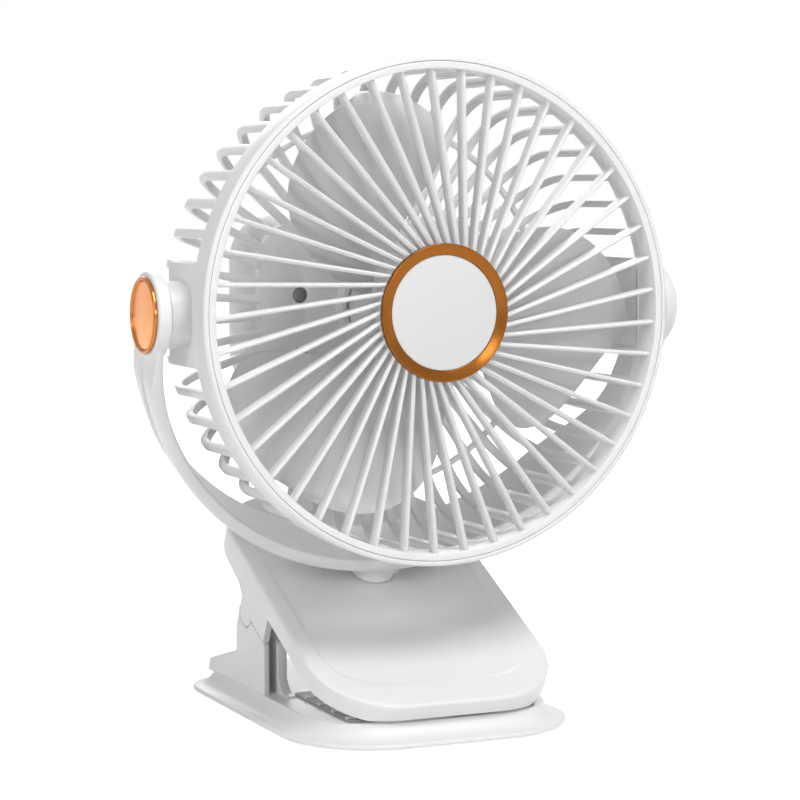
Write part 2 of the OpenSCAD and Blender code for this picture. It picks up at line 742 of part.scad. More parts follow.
module impeller() color("whitesmoke") in_head() difference() {
    union() {
        ring(rotor_hub_r, rotor_hub_r - rotor_hub_wall, rotor_front - rotor_depth, rotor_front - 1);
        disc(rotor_hub_r, rotor_front - rotor_hub_wall, rotor_front);
        disc(4, motor_front + 1.5, rotor_front - 1);
        for (k = [0 : blade_count - 1]) rotate([0, 0, k * 360 / blade_count]) blade();
    }
    disc(shaft_r + press_gap, motor_front - cut, shaft_front + 0.2);
}

// ---------- yoke ----------

// Side view of an arm: behind the boss a taper down to the band's width, then the rear edge sweeps back
module arm_outline() {
    shoulder_y = yoke_boss_r - 1;
    sweep_len = 0.74 * yoke_outer_r - yoke_taper;
    sweep_w = yoke_rear_w - yoke_w / 2;
    rear_edge = [for (k = [0 : 7])
        [yoke_w / 2 + sweep_w * (1 - cos(180 * k / 7)) / 2, -yoke_taper - sweep_len * k / 7]];
    circle(yoke_boss_r - 0.3);
    polygon([[-shoulder_y, -4], [shoulder_y, -4], each rear_edge, [yoke_rear_w, -yoke_outer_r - 1],
             [-yoke_w / 2, -yoke_outer_r - 1], [-yoke_w / 2, -yoke_taper]]);
}

// A leaf: where two equal circles overlap, standing on its tip
module leaf_outline() {
    circle_r = (pow(leaf_len / 2, 2) + pow(leaf_w / 2, 2)) / leaf_w;
    intersection() {
        translate([circle_r - leaf_w / 2, 0]) circle(circle_r);
        translate([leaf_w / 2 - circle_r, 0]) circle(circle_r);
    }
}

module yoke() color("white") difference() {
    union() {
        in_yoke() {
            difference() {
                intersection() {
                    rotate([90, 0, 0]) difference() {
                        cylinder(r = yoke_outer_r, h = 2 * yoke_rear_w + 4, center = true, $fn = 128);
                        cylinder(r = yoke_inner_r, h = 2 * yoke_rear_w + 6, center = true, $fn = 128);
                    }
                    side_plate(boss_proud - boss_outer_x, boss_outer_x - boss_proud) arm_outline();
                }
                rotate([90, 0, 0]) intersection() {
                    difference() {
                        cylinder(r = yoke_outer_r + 1, h = 40, center = true, $fn = 128);
                        cylinder(r = yoke_outer_r - 1, h = 42, center = true, $fn = 128);
                    }
                    rotate([-90, 0, 0]) side_plate(-boss_outer_x - 1, boss_outer_x + 1)
                        translate([0.5, -yoke_boss_r - 4 - leaf_len / 2]) leaf_outline();
                }
            }
            both_sides() rod_x(yoke_boss_r, boss_inner_x, boss_outer_x);
        }
        in_lid() translate([0, foot_u, 0]) {
            disc(foot_r, -panel_sink + move_gap, foot_space + 1.5);
            disc(spigot_r, -swivel_boss_depth - 0.05, foot_space);
        }
    }
    in_yoke() both_sides() {
        rod_x(pivot_r + run_gap, boss_inner_x - cut, boss_outer_x + cut);
        rod_x(counterbore_r, counterbore_x, boss_outer_x + cut);
    }
    in_lid() translate([0, foot_u, 0])
        disc(swivel_screw_r + press_gap, -swivel_boss_depth - cut, foot_space);
}

module pivot_cap() {
    translate([boss_outer_x, 0, 0]) rotate([0, 90, 0]) rotate_extrude() difference() {
        union() {
            square([pivot_cap_r, pivot_cap_t - 0.6]);
            square([pivot_cap_r - 0.6, pivot_cap_t]);
            translate([pivot_cap_r - 0.6, pivot_cap_t - 0.6]) circle(0.6, $fn = 32);
        }
        translate([-cut, pivot_cap_t - 0.4]) square([pivot_cap_r - 1.3 + cut, 1]);
    }
    rod_x(counterbore_r - press_gap, boss_outer_x - 0.6, boss_outer_x);
}

module pivot_cap_right() color("white") in_yoke() pivot_cap();

module pivot_cap_left() color("peru") in_yoke() mirror([1, 0, 0]) pivot_cap();

module swivel_washer() color("silver") in_lid() translate([0, foot_u, 0])
    ring(spigot_r + 2.5, swivel_screw_r + press_gap, -swivel_boss_depth - 0.05 - swivel_washer_t,
        -swivel_boss_depth - 0.05);

module swivel_screw() color("silver") in_lid()
    translate([0, foot_u, -swivel_boss_depth - 0.05 - swivel_washer_t - swivel_head_t]) mirror([0, 0, 1])
        screw(swivel_screw_r, 7, swivel_head_r, swivel_head_t);

// ---------- lid of the clip ----------

module lid_outline(inset) rounded_outline(lid_half_w - inset, -lid_front + inset, lid_rear - inset,
    lid_front_r - inset, lid_rear_r - inset);

module panel_outline() rounded_outline(lid_half_w - panel_rim, -lid_front + panel_front_rim,
    lid_rear - panel_rim, panel_front_r, lid_rear_r - panel_rim);

// Top of the lid with its rounded rim
module lid_crown() hull() {
    for (step = [0 : 3]) {
        inset = lid_edge_r * (1 - cos(30 * step));
        rise = lid_edge_r * sin(30 * step);
        translate([0, 0, -lid_edge_r + rise - 0.05]) linear_extrude(0.05, $fn = hull_fn) lid_outline(inset);
    }
}

// Side view of the lid's walls: shallow at the front, with the cheek tab and the knuckle behind
module lid_side_outline() {
    polygon([[-lid_front - 5, -1], [-lid_front - 5, -lid_depth], [tab_front, -lid_depth],
             [tab_front, -tab_depth], [hinge_u, -tab_depth], [hinge_u, -hinge_drop],
             [hinge_u + notch_reach * cos(notch_angle), -hinge_drop + notch_reach * sin(notch_angle)],
             [lid_rear + 5, -lid_depth - 1.2], [lid_rear + 5, -1]]);
    translate([hinge_u, -hinge_drop]) circle(knuckle_r);
}

module clip_lid() color("white") difference() {
    in_lid() difference() {
        union() {
            lid_crown();
            translate([0, 0, -lid_top_t]) linear_extrude(lid_top_t - lid_edge_r + 0.05) lid_outline(0);
            intersection() {
                translate([0, 0, -hinge_drop - knuckle_r - 1]) linear_extrude(hinge_drop + knuckle_r)
                    difference() {
                        lid_outline(0);
                        lid_outline(wall_t);
                    }
                side_plate(-lid_half_w - 1, lid_half_w + 1) lid_side_outline();
            }
            translate([0, foot_u, 0]) disc(spigot_r + 4, -swivel_boss_depth, -panel_sink - cut);
            for (spot = liner_screw_spots) translate([spot[0], spot[1], 0])
                disc(3, -liner_drop, -panel_sink - cut);
        }
        translate([0, 0, -panel_sink]) linear_extrude(1 + panel_sink) panel_outline();
        translate([0, foot_u, 0]) disc(spigot_r + run_gap, -swivel_boss_depth - cut, cut);
        for (spot = liner_screw_spots) translate([spot[0], spot[1], 0])
            disc(screw_r + press_gap, -liner_drop - cut, -lid_top_t + 0.4);
    }
    translate([-lid_half_w - 1, -lid_front - 10, lid_foot_z - 20])
        cube([2 * lid_half_w + 2, lid_front + 10, 20]);
}

module clip_liner() color("gainsboro") in_lid() difference() {
    union() {
        translate([0, 0, -lid_depth]) linear_extrude(liner_t - 0.05)
            rounded_outline(lid_half_w - wall_t - liner_gap, -liner_front, lid_rear - wall_t - liner_gap,
                lid_front_r - wall_t - liner_gap, lid_rear_r - wall_t - liner_gap);
        both_sides() side_plate(liner_ear_x, liner_ear_x + ear_t) {
            polygon([[hinge_u - ear_half_foot, -lid_depth + cut],
                     [hinge_u + ear_half_foot, -lid_depth + cut],
                     [hinge_u + knuckle_r, -hinge_drop], [hinge_u - knuckle_r, -hinge_drop]]);
            translate([hinge_u, -hinge_drop]) circle(knuckle_r);
        }
    }
    both_sides() translate([0, hinge_u, -hinge_drop])
        rod_x(hinge_pin_r + run_gap, liner_ear_x - cut, liner_ear_x + ear_t + cut);
    translate([0, foot_u, 0]) disc(swivel_head_r + 1.8, -lid_depth - cut, -liner_drop + cut);
    for (spot = liner_screw_spots) translate([spot[0], spot[1], 0])
        disc(screw_r + 0.2, -lid_depth - cut, -liner_drop + cut);
}

module liner_screws() color("silver") in_lid() for (spot = liner_screw_spots)
    translate([spot[0], spot[1], -lid_depth - 1]) mirror([0, 0, 1])
        screw(screw_r, liner_t + 2.4, screw_head_r, 1);

module upper_jaw_pad()
    color("dimgray") in_lid() translate([0, 0, -lid_depth - jaw_pad_t]) linear_extrude(jaw_pad_t)
    intersection() {
        rounded_outline(upper_pad_half_w, -upper_pad_front, upper_pad_front, upper_pad_corner_r,
            upper_pad_corner_r);
        translate([-upper_pad_half_w, -upper_pad_front]) square([2 * upper_pad_half_w, upper_pad_len]);
    }

// ---------- base ----------

// Section of the base's edge, from the middle out to the flange, with a hollow sweep down to it
module skirt_outline(reach) difference() {
    translate([0, flange_z]) square([reach, floor_z - flange_z]);
    translate([reach, flange_z + flange_t + skirt_arc_r]) circle(skirt_arc_r);
}

module skirted_slab() {
    front = -base_front + base_front_r;
    rear = base_rear - base_rear_r;
    front_half = base_half_w - base_front_r;
    rear_half = base_half_w - base_rear_r;
    for (corner = [[rear_half, rear, 0], [-rear_half, rear, 90]])
        translate([corner[0], corner[1], 0]) rotate([0, 0, corner[2]]) rotate_extrude(angle = 90)
            skirt_outline(base_rear_r);
    for (corner = [[-front_half, front, 180], [front_half, front, 270]])
        translate([corner[0], corner[1], 0]) rotate([0, 0, corner[2]]) rotate_extrude(angle = 90)
            skirt_outline(base_front_r);
    both_sides() translate([rear_half, rear, 0]) rotate([90, 0, 0]) linear_extrude(rear - front)
        skirt_outline(base_rear_r);
    translate([-rear_half, rear, 0]) rotate([0, 0, 90]) rotate([90, 0, 0]) linear_extrude(2 * rear_half)
        skirt_outline(base_rear_r);
    translate([front_half, front, 0]) rotate([0, 0, -90]) rotate([90, 0, 0]) linear_extrude(2 * front_half)
        skirt_outline(base_front_r);
    translate([-rear_half, front, flange_z]) cube([2 * rear_half, rear - front, floor_z - flange_z]);
}

module hollow_outline(inset) {
    pulled_in = hollow_inset + inset;
    rounded_outline(base_half_w - pulled_in, -base_front + pulled_in, base_rear - pulled_in,
        base_front_r - pulled_in, base_rear_r - pulled_in);
}

// Height of the seam, on the base's side, at a distance y behind the origin
function seam_z(y) = lid_z + y * tan(lid_slope) - (tab_depth + move_gap) / cos(lid_slope);

module cheek_outline() difference() {
    polygon([[cheek_front, floor_z - 1], [cheek_front, seam_z(cheek_front)],
             [hinge_y + knuckle_r, seam_z(hinge_y + knuckle_r)], [cheek_rear, cheek_rear_z],
             [cheek_rear, floor_z - 1]]);
    translate([hinge_y, hinge_z]) circle(seat_r);
}

module fin_outline()
    polygon([[cheek_rear - 1, floor_z - 1], [cheek_rear - 1, fin_z], [fin_rear - 2.3, fin_end_z],
             [fin_rear, floor_z - 0.2], [fin_rear, floor_z - 1]]);

// Side view of a hinge post: a web with a gusset at its foot runs forwards from the hinge
module post_outline() {
    polygon([[post_front - gusset_len, floor_z - cut], [hinge_y + ear_half_foot, floor_z - cut],
             [hinge_y + knuckle_r, hinge_z], [hinge_y - knuckle_r, hinge_z], [post_front, post_front_z],
             [post_front, floor_z + gusset_h], [post_front - 0.12 * gusset_len, floor_z + 0.68 * gusset_h],
             [post_front - 0.36 * gusset_len, floor_z + 0.34 * gusset_h],
             [post_front - gusset_len, floor_z + 0.1 * gusset_h]]);
    translate([hinge_y, hinge_z]) circle(knuckle_r);
}

module base_body() color("white") difference() {
    union() {
        difference() {
            skirted_slab();
            translate([0, 0, -cut]) linear_extrude(hollow_z + cut) hollow_outline(0);
        }
        for (spot = base_screw_spots) translate([spot[0], spot[1], 0])
            disc(3.2, cover_z + cover_t, floor_z - cut);
        both_sides() {
            side_plate(lid_half_w - wall_t, lid_half_w) {
                cheek_outline();
                fin_outline();
            }
            side_plate(base_ear_x, base_ear_x + ear_t) post_outline();
        }
    }
    for (spot = base_screw_spots) translate([spot[0], spot[1], 0])
        disc(screw_r + press_gap, -cut, cover_z + base_screw_head_t + base_screw_len + 0.4);
    both_sides() translate([0, hinge_y, hinge_z])
        rod_x(hinge_pin_r + press_gap, base_ear_x - cut, base_ear_x + ear_t + cut);
}

module base_cover() color("gainsboro") difference() {
    translate([0, 0, cover_z]) linear_extrude(cover_t - 0.05) hollow_outline(0.3);
    for (spot = base_screw_spots) translate([spot[0], spot[1], 0]) {
        disc(screw_r + 0.2, cover_z - cut, cover_z + cover_t + cut);
        disc(screw_head_r + 0.2, cover_z - cut, cover_z + base_screw_head_t);
    }
}

module base_pad() color("dimgray") linear_extrude(pad_sheet_t) hollow_outline(2);

module base_screws() color("silver") for (spot = base_screw_spots) translate([spot[0], spot[1], cover_z])
    mirror([0, 0, 1]) screw(screw_r, base_screw_len, screw_head_r, base_screw_head_t);

module lower_jaw_pad() color("dimgray") {
    translate([-lower_pad_half_w, -lower_pad_front, floor_z])
        cube([2 * lower_pad_half_w, lower_pad_front + lower_pad_rear, jaw_pad_t]);
    for (y = [3 - lower_pad_front : bar_pitch : lower_pad_rear - bar_w])
        translate([-lower_pad_half_w, y - bar_w / 2, floor_z + jaw_pad_t - cut])
            cube([2 * lower_pad_half_w, bar_w, bar_h + cut]);
}

module hinge_pin() color("silver") translate([0, hinge_y, hinge_z])
    rod_x(hinge_pin_r, -base_ear_x - ear_t, base_ear_x + ear_t);

// Torsion springs: a leg under the liner, a coil round the pin and a leg down to the base's floor.
// Both legs leave the coil along its tangents.
spring_wire_r = 0.7;
spring_coil_r = hinge_pin_r + spring_wire_r + move_gap;
spring_pitch = 2.2;
spring_start_x = 20;
spring_sides = 6;
spring_lift = 30;
spring_fall = 50;
spring_coils = 4;
spring_start = 90 + lid_slope + spring_lift;
spring_turn = 360 * spring_coils - 90 - spring_fall - spring_start;
spring_steps = 46;
upper_leg = (hinge_drop - lid_depth - move_gap - spring_wire_r - spring_coil_r * cos(spring_lift))
    / sin(spring_lift);
lower_leg = (hinge_z - floor_z - move_gap - spring_wire_r - spring_coil_r * cos(spring_fall))
    / sin(spring_fall);

// A point at a part of the coil's turn, moved along its tangent by slide
function spring_at(part, slide) = let (a = spring_start + part * spring_turn) [
    spring_start_x + part * spring_turn / 360 * spring_pitch,
    hinge_y + spring_coil_r * cos(a) - slide * sin(a),
    hinge_z + spring_coil_r * sin(a) + slide * cos(a)];

module sweep(path, r, sides) {
    last = len(path) - 1;
    unit = function (v) v / norm(v);
    rings = [for (i = [0 : last]) let (
        t = unit(path[min(i + 1, last)] - path[max(i - 1, 0)]),
        n = unit([1, 0, 0] - t[0] * t),
        b = cross(t, n))
        [for (k = [0 : sides - 1]) path[i] + r * (cos(k * 360 / sides) * n + sin(k * 360 / sides) * b)]];
    at = function (i, k) i * sides + k % sides;
    faces = concat(
        [for (i = [0 : last - 1]) for (k = [0 : sides - 1]) each
            [[at(i, k), at(i + 1, k), at(i + 1, k + 1)], [at(i, k), at(i + 1, k + 1), at(i, k + 1)]]],
        [[for (k = [0 : sides - 1]) k], [for (k = [sides - 1 : -1 : 0]) last * sides + k]]);
    polyhedron([for (one = rings) each one], faces, convexity = 8);
}

module torsion_springs() color("silver") both_sides() {
    coil = [for (i = [0 : spring_steps]) spring_at(i / spring_steps, 0)];
    sweep([spring_at(0, -upper_leg), each coil, spring_at(1, lower_leg)], spring_wire_r, spring_sides);
}

base_body();
base_cover();
base_pad();
base_screws();
lower_jaw_pad();
hinge_pin();
torsion_springs();
clip_lid();
clip_liner();
liner_screws();
upper_jaw_pad();
yoke();
swivel_washer();
swivel_screw();
pivot_cap_left();
pivot_cap_right();
front_grille();
hub_trim_ring();
hub_cap();
rear_cage();
rear_housing();
housing_screws();
motor_can();
motor_magnets();
motor_bearings();
motor_screws();
battery_cells();
battery_tray();
control_board();
charge_socket();
indicator_lens();
pivot_screws();
friction_washers();
impeller();
motor_shaft();
motor_rotor();
speed_button();
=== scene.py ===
# Portable clip-on fan: a caged head tilts in a round yoke, and the yoke swivels on a squeeze clip.
# Sizes inside the sections are in millimetres, and every piece is put into the frame in metres.
import math

import bmesh
import bpy
import numpy as np
from mathutils import Matrix, Vector
from mathutils.geometry import delaunay_2d_cdt


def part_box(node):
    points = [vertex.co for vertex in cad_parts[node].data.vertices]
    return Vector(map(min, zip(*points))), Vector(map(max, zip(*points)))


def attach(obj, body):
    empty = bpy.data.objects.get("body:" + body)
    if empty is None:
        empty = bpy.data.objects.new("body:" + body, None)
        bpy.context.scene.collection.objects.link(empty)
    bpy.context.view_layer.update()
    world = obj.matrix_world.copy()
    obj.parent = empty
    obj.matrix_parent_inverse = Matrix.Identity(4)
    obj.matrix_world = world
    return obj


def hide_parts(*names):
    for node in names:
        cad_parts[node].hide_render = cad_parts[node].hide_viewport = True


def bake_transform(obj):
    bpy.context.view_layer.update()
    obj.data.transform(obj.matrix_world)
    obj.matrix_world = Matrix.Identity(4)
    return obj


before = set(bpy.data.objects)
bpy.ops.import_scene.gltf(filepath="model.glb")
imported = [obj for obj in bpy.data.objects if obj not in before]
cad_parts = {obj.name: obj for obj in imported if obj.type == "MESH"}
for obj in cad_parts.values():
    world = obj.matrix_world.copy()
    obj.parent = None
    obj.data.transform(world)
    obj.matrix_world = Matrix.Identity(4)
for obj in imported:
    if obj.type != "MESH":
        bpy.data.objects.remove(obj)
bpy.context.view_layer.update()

# ---------- camera ----------
# A long lens a little above the fan's middle, to the left of its front.
lens = bpy.data.cameras.new("camera")
lens.sensor_fit = "HORIZONTAL"
lens.sensor_width = 36
lens.lens = 111.945
camera = bpy.data.objects.new("camera", lens)
bpy.context.scene.collection.objects.link(camera)
camera_place = Vector((-0.38292, -0.83600, 0.20022))
looking = Vector((0.41028, 0.90791, -0.08585))
camera.matrix_world = Matrix.Translation(camera_place) @ looking.to_track_quat("-Z", "Y").to_matrix().to_4x4()
bpy.context.scene.camera = camera

# ---------- studio ----------
# A wide white floor, a white surround and soft square lamps: one on the left, a weak one on the right,
# one overhead and in front, a smaller one in front, and one behind.
bpy.context.scene.view_settings.view_transform = "Standard"


def new_node(tree, kind, inputs=None, **settings):
    """Adds a shader node and sets its input sockets and its own settings."""
    made = tree.nodes.new(kind)
    for key, value in settings.items():
        setattr(made, key, value)
    for key, value in (inputs or {}).items():
        made.inputs[key].default_value = value
    return made


def seen_directly(tree):
    """A factor of 1 for camera, glossy and transmission rays, and 0 for the rays that light the fan."""
    path = new_node(tree, "ShaderNodeLightPath")
    first = new_node(tree, "ShaderNodeMath", operation="MAXIMUM")
    second = new_node(tree, "ShaderNodeMath", operation="MAXIMUM")
    tree.links.new(path.outputs["Is Camera Ray"], first.inputs[0])
    tree.links.new(path.outputs["Is Glossy Ray"], first.inputs[1])
    tree.links.new(first.outputs[0], second.inputs[0])
    tree.links.new(path.outputs["Is Transmission Ray"], second.inputs[1])
    return second.outputs[0]


surround_light, floor_glow, floor_half, floor_drop = 0.20, 0.85, 5.0, 0.0004
world = bpy.data.worlds.new("surround")
world.use_nodes = True
bpy.context.scene.world = world
sky = world.node_tree
sky.nodes.clear()
lighting = new_node(sky, "ShaderNodeBackground", {"Color": (1, 1, 1, 1), "Strength": surround_light})
showing = new_node(sky, "ShaderNodeBackground", {"Color": (1, 1, 1, 1), "Strength": 1.0})
either = new_node(sky, "ShaderNodeMixShader")
sky_out = new_node(sky, "ShaderNodeOutputWorld")
sky.links.new(seen_directly(sky), either.inputs[0])
sky.links.new(lighting.outputs[0], either.inputs[1])
sky.links.new(showing.outputs[0], either.inputs[2])
sky.links.new(either.outputs[0], sky_out.inputs[0])

floor_finish = bpy.data.materials.new("floor")
floor_finish.use_nodes = True
tree = floor_finish.node_tree
tree.nodes.clear()
matt = new_node(tree, "ShaderNodeBsdfDiffuse", {"Color": (0.9, 0.9, 0.9, 1)})
glow = new_node(tree, "ShaderNodeEmission", {"Color": (1, 1, 1, 1)})
amount = new_node(tree, "ShaderNodeMath", operation="MULTIPLY")
amount.inputs[1].default_value = floor_glow
both = new_node(tree, "ShaderNodeAddShader")
floor_out = new_node(tree, "ShaderNodeOutputMaterial")
tree.links.new(seen_directly(tree), amount.inputs[0])
tree.links.new(amount.outputs[0], glow.inputs["Strength"])
tree.links.new(matt.outputs[0], both.inputs[0])
tree.links.new(glow.outputs[0], both.inputs[1])
tree.links.new(both.outputs[0], floor_out.inputs[0])

floor_mesh = bpy.data.meshes.new("floor")
floor_corners = [(-floor_half, -floor_half), (floor_half, -floor_half), (floor_half, floor_half),
                 (-floor_half, floor_half)]
floor_mesh.from_pydata([(x, y, -floor_drop) for x, y in floor_corners], [], [(0, 1, 2, 3)])
floor_mesh.materials.append(floor_finish)
floor = bpy.data.objects.new("floor", floor_mesh)
bpy.context.scene.collection.objects.link(floor)


def soft_lamp(name, place, size, watts, aim=(0, 0, 0.12)):
    """A square area lamp that faces the fan."""
    data = bpy.data.lights.new(name, "AREA")
    data.shape = "SQUARE"
    data.size = size
    data.energy = watts
    lamp = bpy.data.objects.new(name, data)
    bpy.context.scene.collection.objects.link(lamp)
    way = Vector(aim) - Vector(place)
    lamp.matrix_world = Matrix.Translation(place) @ way.to_track_quat("-Z", "Y").to_matrix().to_4x4()


soft_lamp("lamp_left", (-1.8, -0.9, 0.8), 0.9, 12)
soft_lamp("lamp_right", (1.5, -1.3, 0.1), 0.5, 0.6)
soft_lamp("lamp_top", (0.25, -0.85, 1.55), 0.8, 17)
soft_lamp("lamp_front", (0.23, -2.1, 0.6), 0.36, 6)
soft_lamp("lamp_back", (0.5, 1.9, 0.9), 0.9, 8)

# ---------- base ----------
# The base is one white moulding: a flat floor with a swept skirt, two cheeks with long fins behind,
# and two gusseted hinge posts. It is injection moulded, open below, with softened edges.


millimetre = 0.001


def finish(name, colour, roughness, mottle=0.03, grain_scale=1500.0, grain_depth=0.012, soft_edge=0.0,
           mottle_scale=45.0, **sockets):
    """The colour varies by mottle with a slow noise and the roughness by an eighth with a second one.
    A fine noise, grain_depth millimetres deep, is the bump; soft_edge rounds the shading of edges."""
    made = bpy.data.materials.new(name)
    made.use_nodes = True
    tree = made.node_tree
    tree.nodes.clear()
    shader = new_node(tree, "ShaderNodeBsdfPrincipled", sockets)
    out = new_node(tree, "ShaderNodeOutputMaterial")
    where = new_node(tree, "ShaderNodeTexCoord")
    slow = new_node(tree, "ShaderNodeTexNoise", {"Scale": mottle_scale, "Detail": 4.0})
    shade = new_node(tree, "ShaderNodeMix", data_type="RGBA")
    shade.inputs["A"].default_value = tuple(part * (1 - mottle) for part in colour) + (1,)
    shade.inputs["B"].default_value = tuple(min(part * (1 + mottle), 1) for part in colour) + (1,)
    smudge = new_node(tree, "ShaderNodeTexNoise", {"Scale": mottle_scale * 3.1, "Detail": 3.0})
    gloss = new_node(tree, "ShaderNodeMapRange", {"To Min": roughness * 0.875, "To Max": roughness * 1.125})
    grain = new_node(tree, "ShaderNodeTexNoise", {"Scale": grain_scale, "Detail": 2.0})
    bump = new_node(tree, "ShaderNodeBump", {"Strength": 0.5, "Distance": grain_depth * millimetre})
    for noise in (slow, smudge, grain):
        tree.links.new(where.outputs["Object"], noise.inputs["Vector"])
    tree.links.new(slow.outputs["Fac"], shade.inputs["Factor"])
    tree.links.new(shade.outputs["Result"], shader.inputs["Base Color"])
    tree.links.new(smudge.outputs["Fac"], gloss.inputs["Value"])
    tree.links.new(gloss.outputs["Result"], shader.inputs["Roughness"])
    tree.links.new(grain.outputs["Fac"], bump.inputs["Height"])
    tree.links.new(bump.outputs["Normal"], shader.inputs["Normal"])
    if soft_edge:
        edge = new_node(tree, "ShaderNodeBevel", {"Radius": soft_edge * millimetre}, samples=4)
        tree.links.new(edge.outputs["Normal"], bump.inputs["Normal"])
    tree.links.new(shader.outputs[0], out.inputs[0])
    return made


def grid_faces(grid, first, rows_close=False):
    """Faces between the neighbours in a grid of points that are numbered from first. Its columns close on
    themselves, and its rows do so where asked. Also returns the grid's numbers."""
    rows, columns = grid.shape[:2]
    index = first + np.arange(rows * columns).reshape(rows, columns)
    here, below = (index, np.roll(index, -1, 0)) if rows_close else (index[:-1], index[1:])
    square = np.stack([here, np.roll(here, -1, 1), np.roll(below, -1, 1), below], -1)
    return square.reshape(-1, 4).tolist(), index


def built(name, sheets, material, body, slot, *nodes, crease=35):
    """Joins sheets into one piece that stands for the nodes. A sheet is a grid of points and a flag that
    says whether its rows close on themselves, as its columns do. Rows that stay open end in a flat face,
    or in a point where they shrink to one."""
    points, faces, first = [], [], 0
    for grid, rows_close in sheets:
        made, index = grid_faces(grid, first, rows_close)
        faces += made
        if not rows_close:
            faces += [index[0, ::-1].tolist(), index[-1].tolist()]
        points.append(grid.reshape(-1, 3))
        first += index.size
    return placed(name, np.concatenate(points), faces, material, body, nodes, crease)


def placed(name, points, faces, material, body, nodes, crease=35):
    """Makes the mesh, merges its doubles, turns its faces outwards and smooths all but the sharp edges.
    The piece rides on the body, if one is named."""
    mesh = bpy.data.meshes.new(name)
    mesh.from_pydata((points * millimetre).tolist(), [], faces)
    work = bmesh.new()
    work.from_mesh(mesh)
    bmesh.ops.remove_doubles(work, verts=work.verts, dist=2e-7)
    bmesh.ops.recalc_face_normals(work, faces=work.faces)
    work.to_mesh(mesh)
    work.free()
    mesh.shade_smooth()
    mesh.set_sharp_from_angle(angle=math.radians(crease))
    mesh.materials.append(material)
    piece = bpy.data.objects.new(name, mesh)
    bpy.context.scene.collection.objects.link(piece)
    if body:
        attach(piece, body)
    if nodes:
        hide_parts(*nodes)
    return piece


def rounded_frame(half_w, low, high, low_r, high_r, inset, steps=12):
    """Rounded rectangles, one for each inset: quarter circles of radius r - inset about fixed centres."""
    inset = np.atleast_1d(np.asarray(inset, float))[:, None]
    turn = np.linspace(0, np.pi / 2, steps + 1)
    corners = [(1, high - high_r, high_r, 0), (-1, high - high_r, high_r, 1),
               (-1, low + low_r, low_r, 2), (1, low + low_r, low_r, 3)]
    arcs = [np.stack([side * (half_w - r) + (r - inset) * np.cos(turn + quarter * np.pi / 2),
                      middle + (r - inset) * np.sin(turn + quarter * np.pi / 2)], -1)
            for side, middle, r, quarter in corners]
    return np.concatenate(arcs, 1)


def stacked(outlines, heights):
    """Outlines laid over each other, each at its own height."""
    heights = np.broadcast_to(np.asarray(heights, float)[:, None], outlines.shape[:2])
    return np.concatenate([outlines, heights[..., None]], -1)


def rounded(corners, radius, steps=4):
    """Each corner of a closed outline becomes the arc that touches both of its sides; a radius of 0 keeps
    the corner as it is."""
    here = np.asarray(corners, float)
    radius = np.broadcast_to(np.asarray(radius, float), len(here))[:, None]
    back, ahead = np.roll(here, 1, 0) - here, np.roll(here, -1, 0) - here
    back /= np.linalg.norm(back, axis=1, keepdims=True)
    ahead /= np.linalg.norm(ahead, axis=1, keepdims=True)
    half = np.maximum(np.arccos(np.clip((back * ahead).sum(1, keepdims=True), -1, 1)) / 2, 1e-3)
    middle = back + ahead
    middle /= np.maximum(np.linalg.norm(middle, axis=1, keepdims=True), 1e-9)
    centre = here + middle * radius / np.sin(half)
    start, end = here + back * radius / np.tan(half) - centre, here + ahead * radius / np.tan(half) - centre
    turn = np.maximum(np.pi - 2 * half, 1e-6)[:, None]
    t = np.linspace(0, 1, steps + 1)[None, :, None]
    arc = (np.sin((1 - t) * turn) * start[:, None] + np.sin(t * turn) * end[:, None]) / np.sin(turn)
    return (centre[:, None] + arc).reshape(-1, 2)


def drawn_in(outline, inset):
    """An outline moved inwards by each inset, along the bisectors of its corners."""
    twice = (outline * np.roll(outline[:, ::-1] * (-1, 1), -1, 0)).sum()
    if twice > 0:
        outline = outline[::-1]
    step = np.roll(outline, -1, 0) - outline
    step /= np.maximum(np.linalg.norm(step, axis=1, keepdims=True), 1e-12)
    after = np.stack([-step[:, 1], step[:, 0]], -1)
    before = np.roll(after, 1, 0)
    way = (before + after) / (1 + (before * after).sum(1, keepdims=True))
    return outline + np.asarray(inset, float)[:, None, None] * way


def soft_edges(low, high, edge, steps=3):
    """Insets and heights of rings that round both edges of a slab from low to high."""
    t = np.linspace(0, np.pi / 2, steps + 1)
    inset, depth = edge * (1 - np.sin(t)), edge * (1 - np.cos(t))
    return np.r_[inset, inset[::-1]], np.r_[low + depth, (high - depth)[::-1]]


def plate(outline, low_x, high_x, edge=0.5):
    """A side-view outline of (y, z) pairs made into a plate that runs along x, with rounded edges."""
    inset, x = soft_edges(low_x, high_x, edge)
    grid = stacked(drawn_in(outline, inset), x)
    return grid[..., [2, 0, 1]], False


def mirrored(sheet):
    """The same sheet on the other side of the middle plane."""
    return sheet[0] * (-1, 1, 1), sheet[1]


white = finish("white_plastic", (0.845, 0.845, 0.85), 0.36)
floor_z, base_front, base_rear, base_half_w, skirt_w = 8.3, -43.4, 104.0, 56.4, 8.5
base_front_r, base_rear_r = 36, 22
wall_out, wall_in = 47.9, 45.5
lid_z, slope = 33.9, math.radians(25.7)
hinge_y, hinge_z, hinge_drop = 49.495, 37.522, 18.2
knuckle_r, move_gap, seam_drop = 6.0, 0.35, 0.5

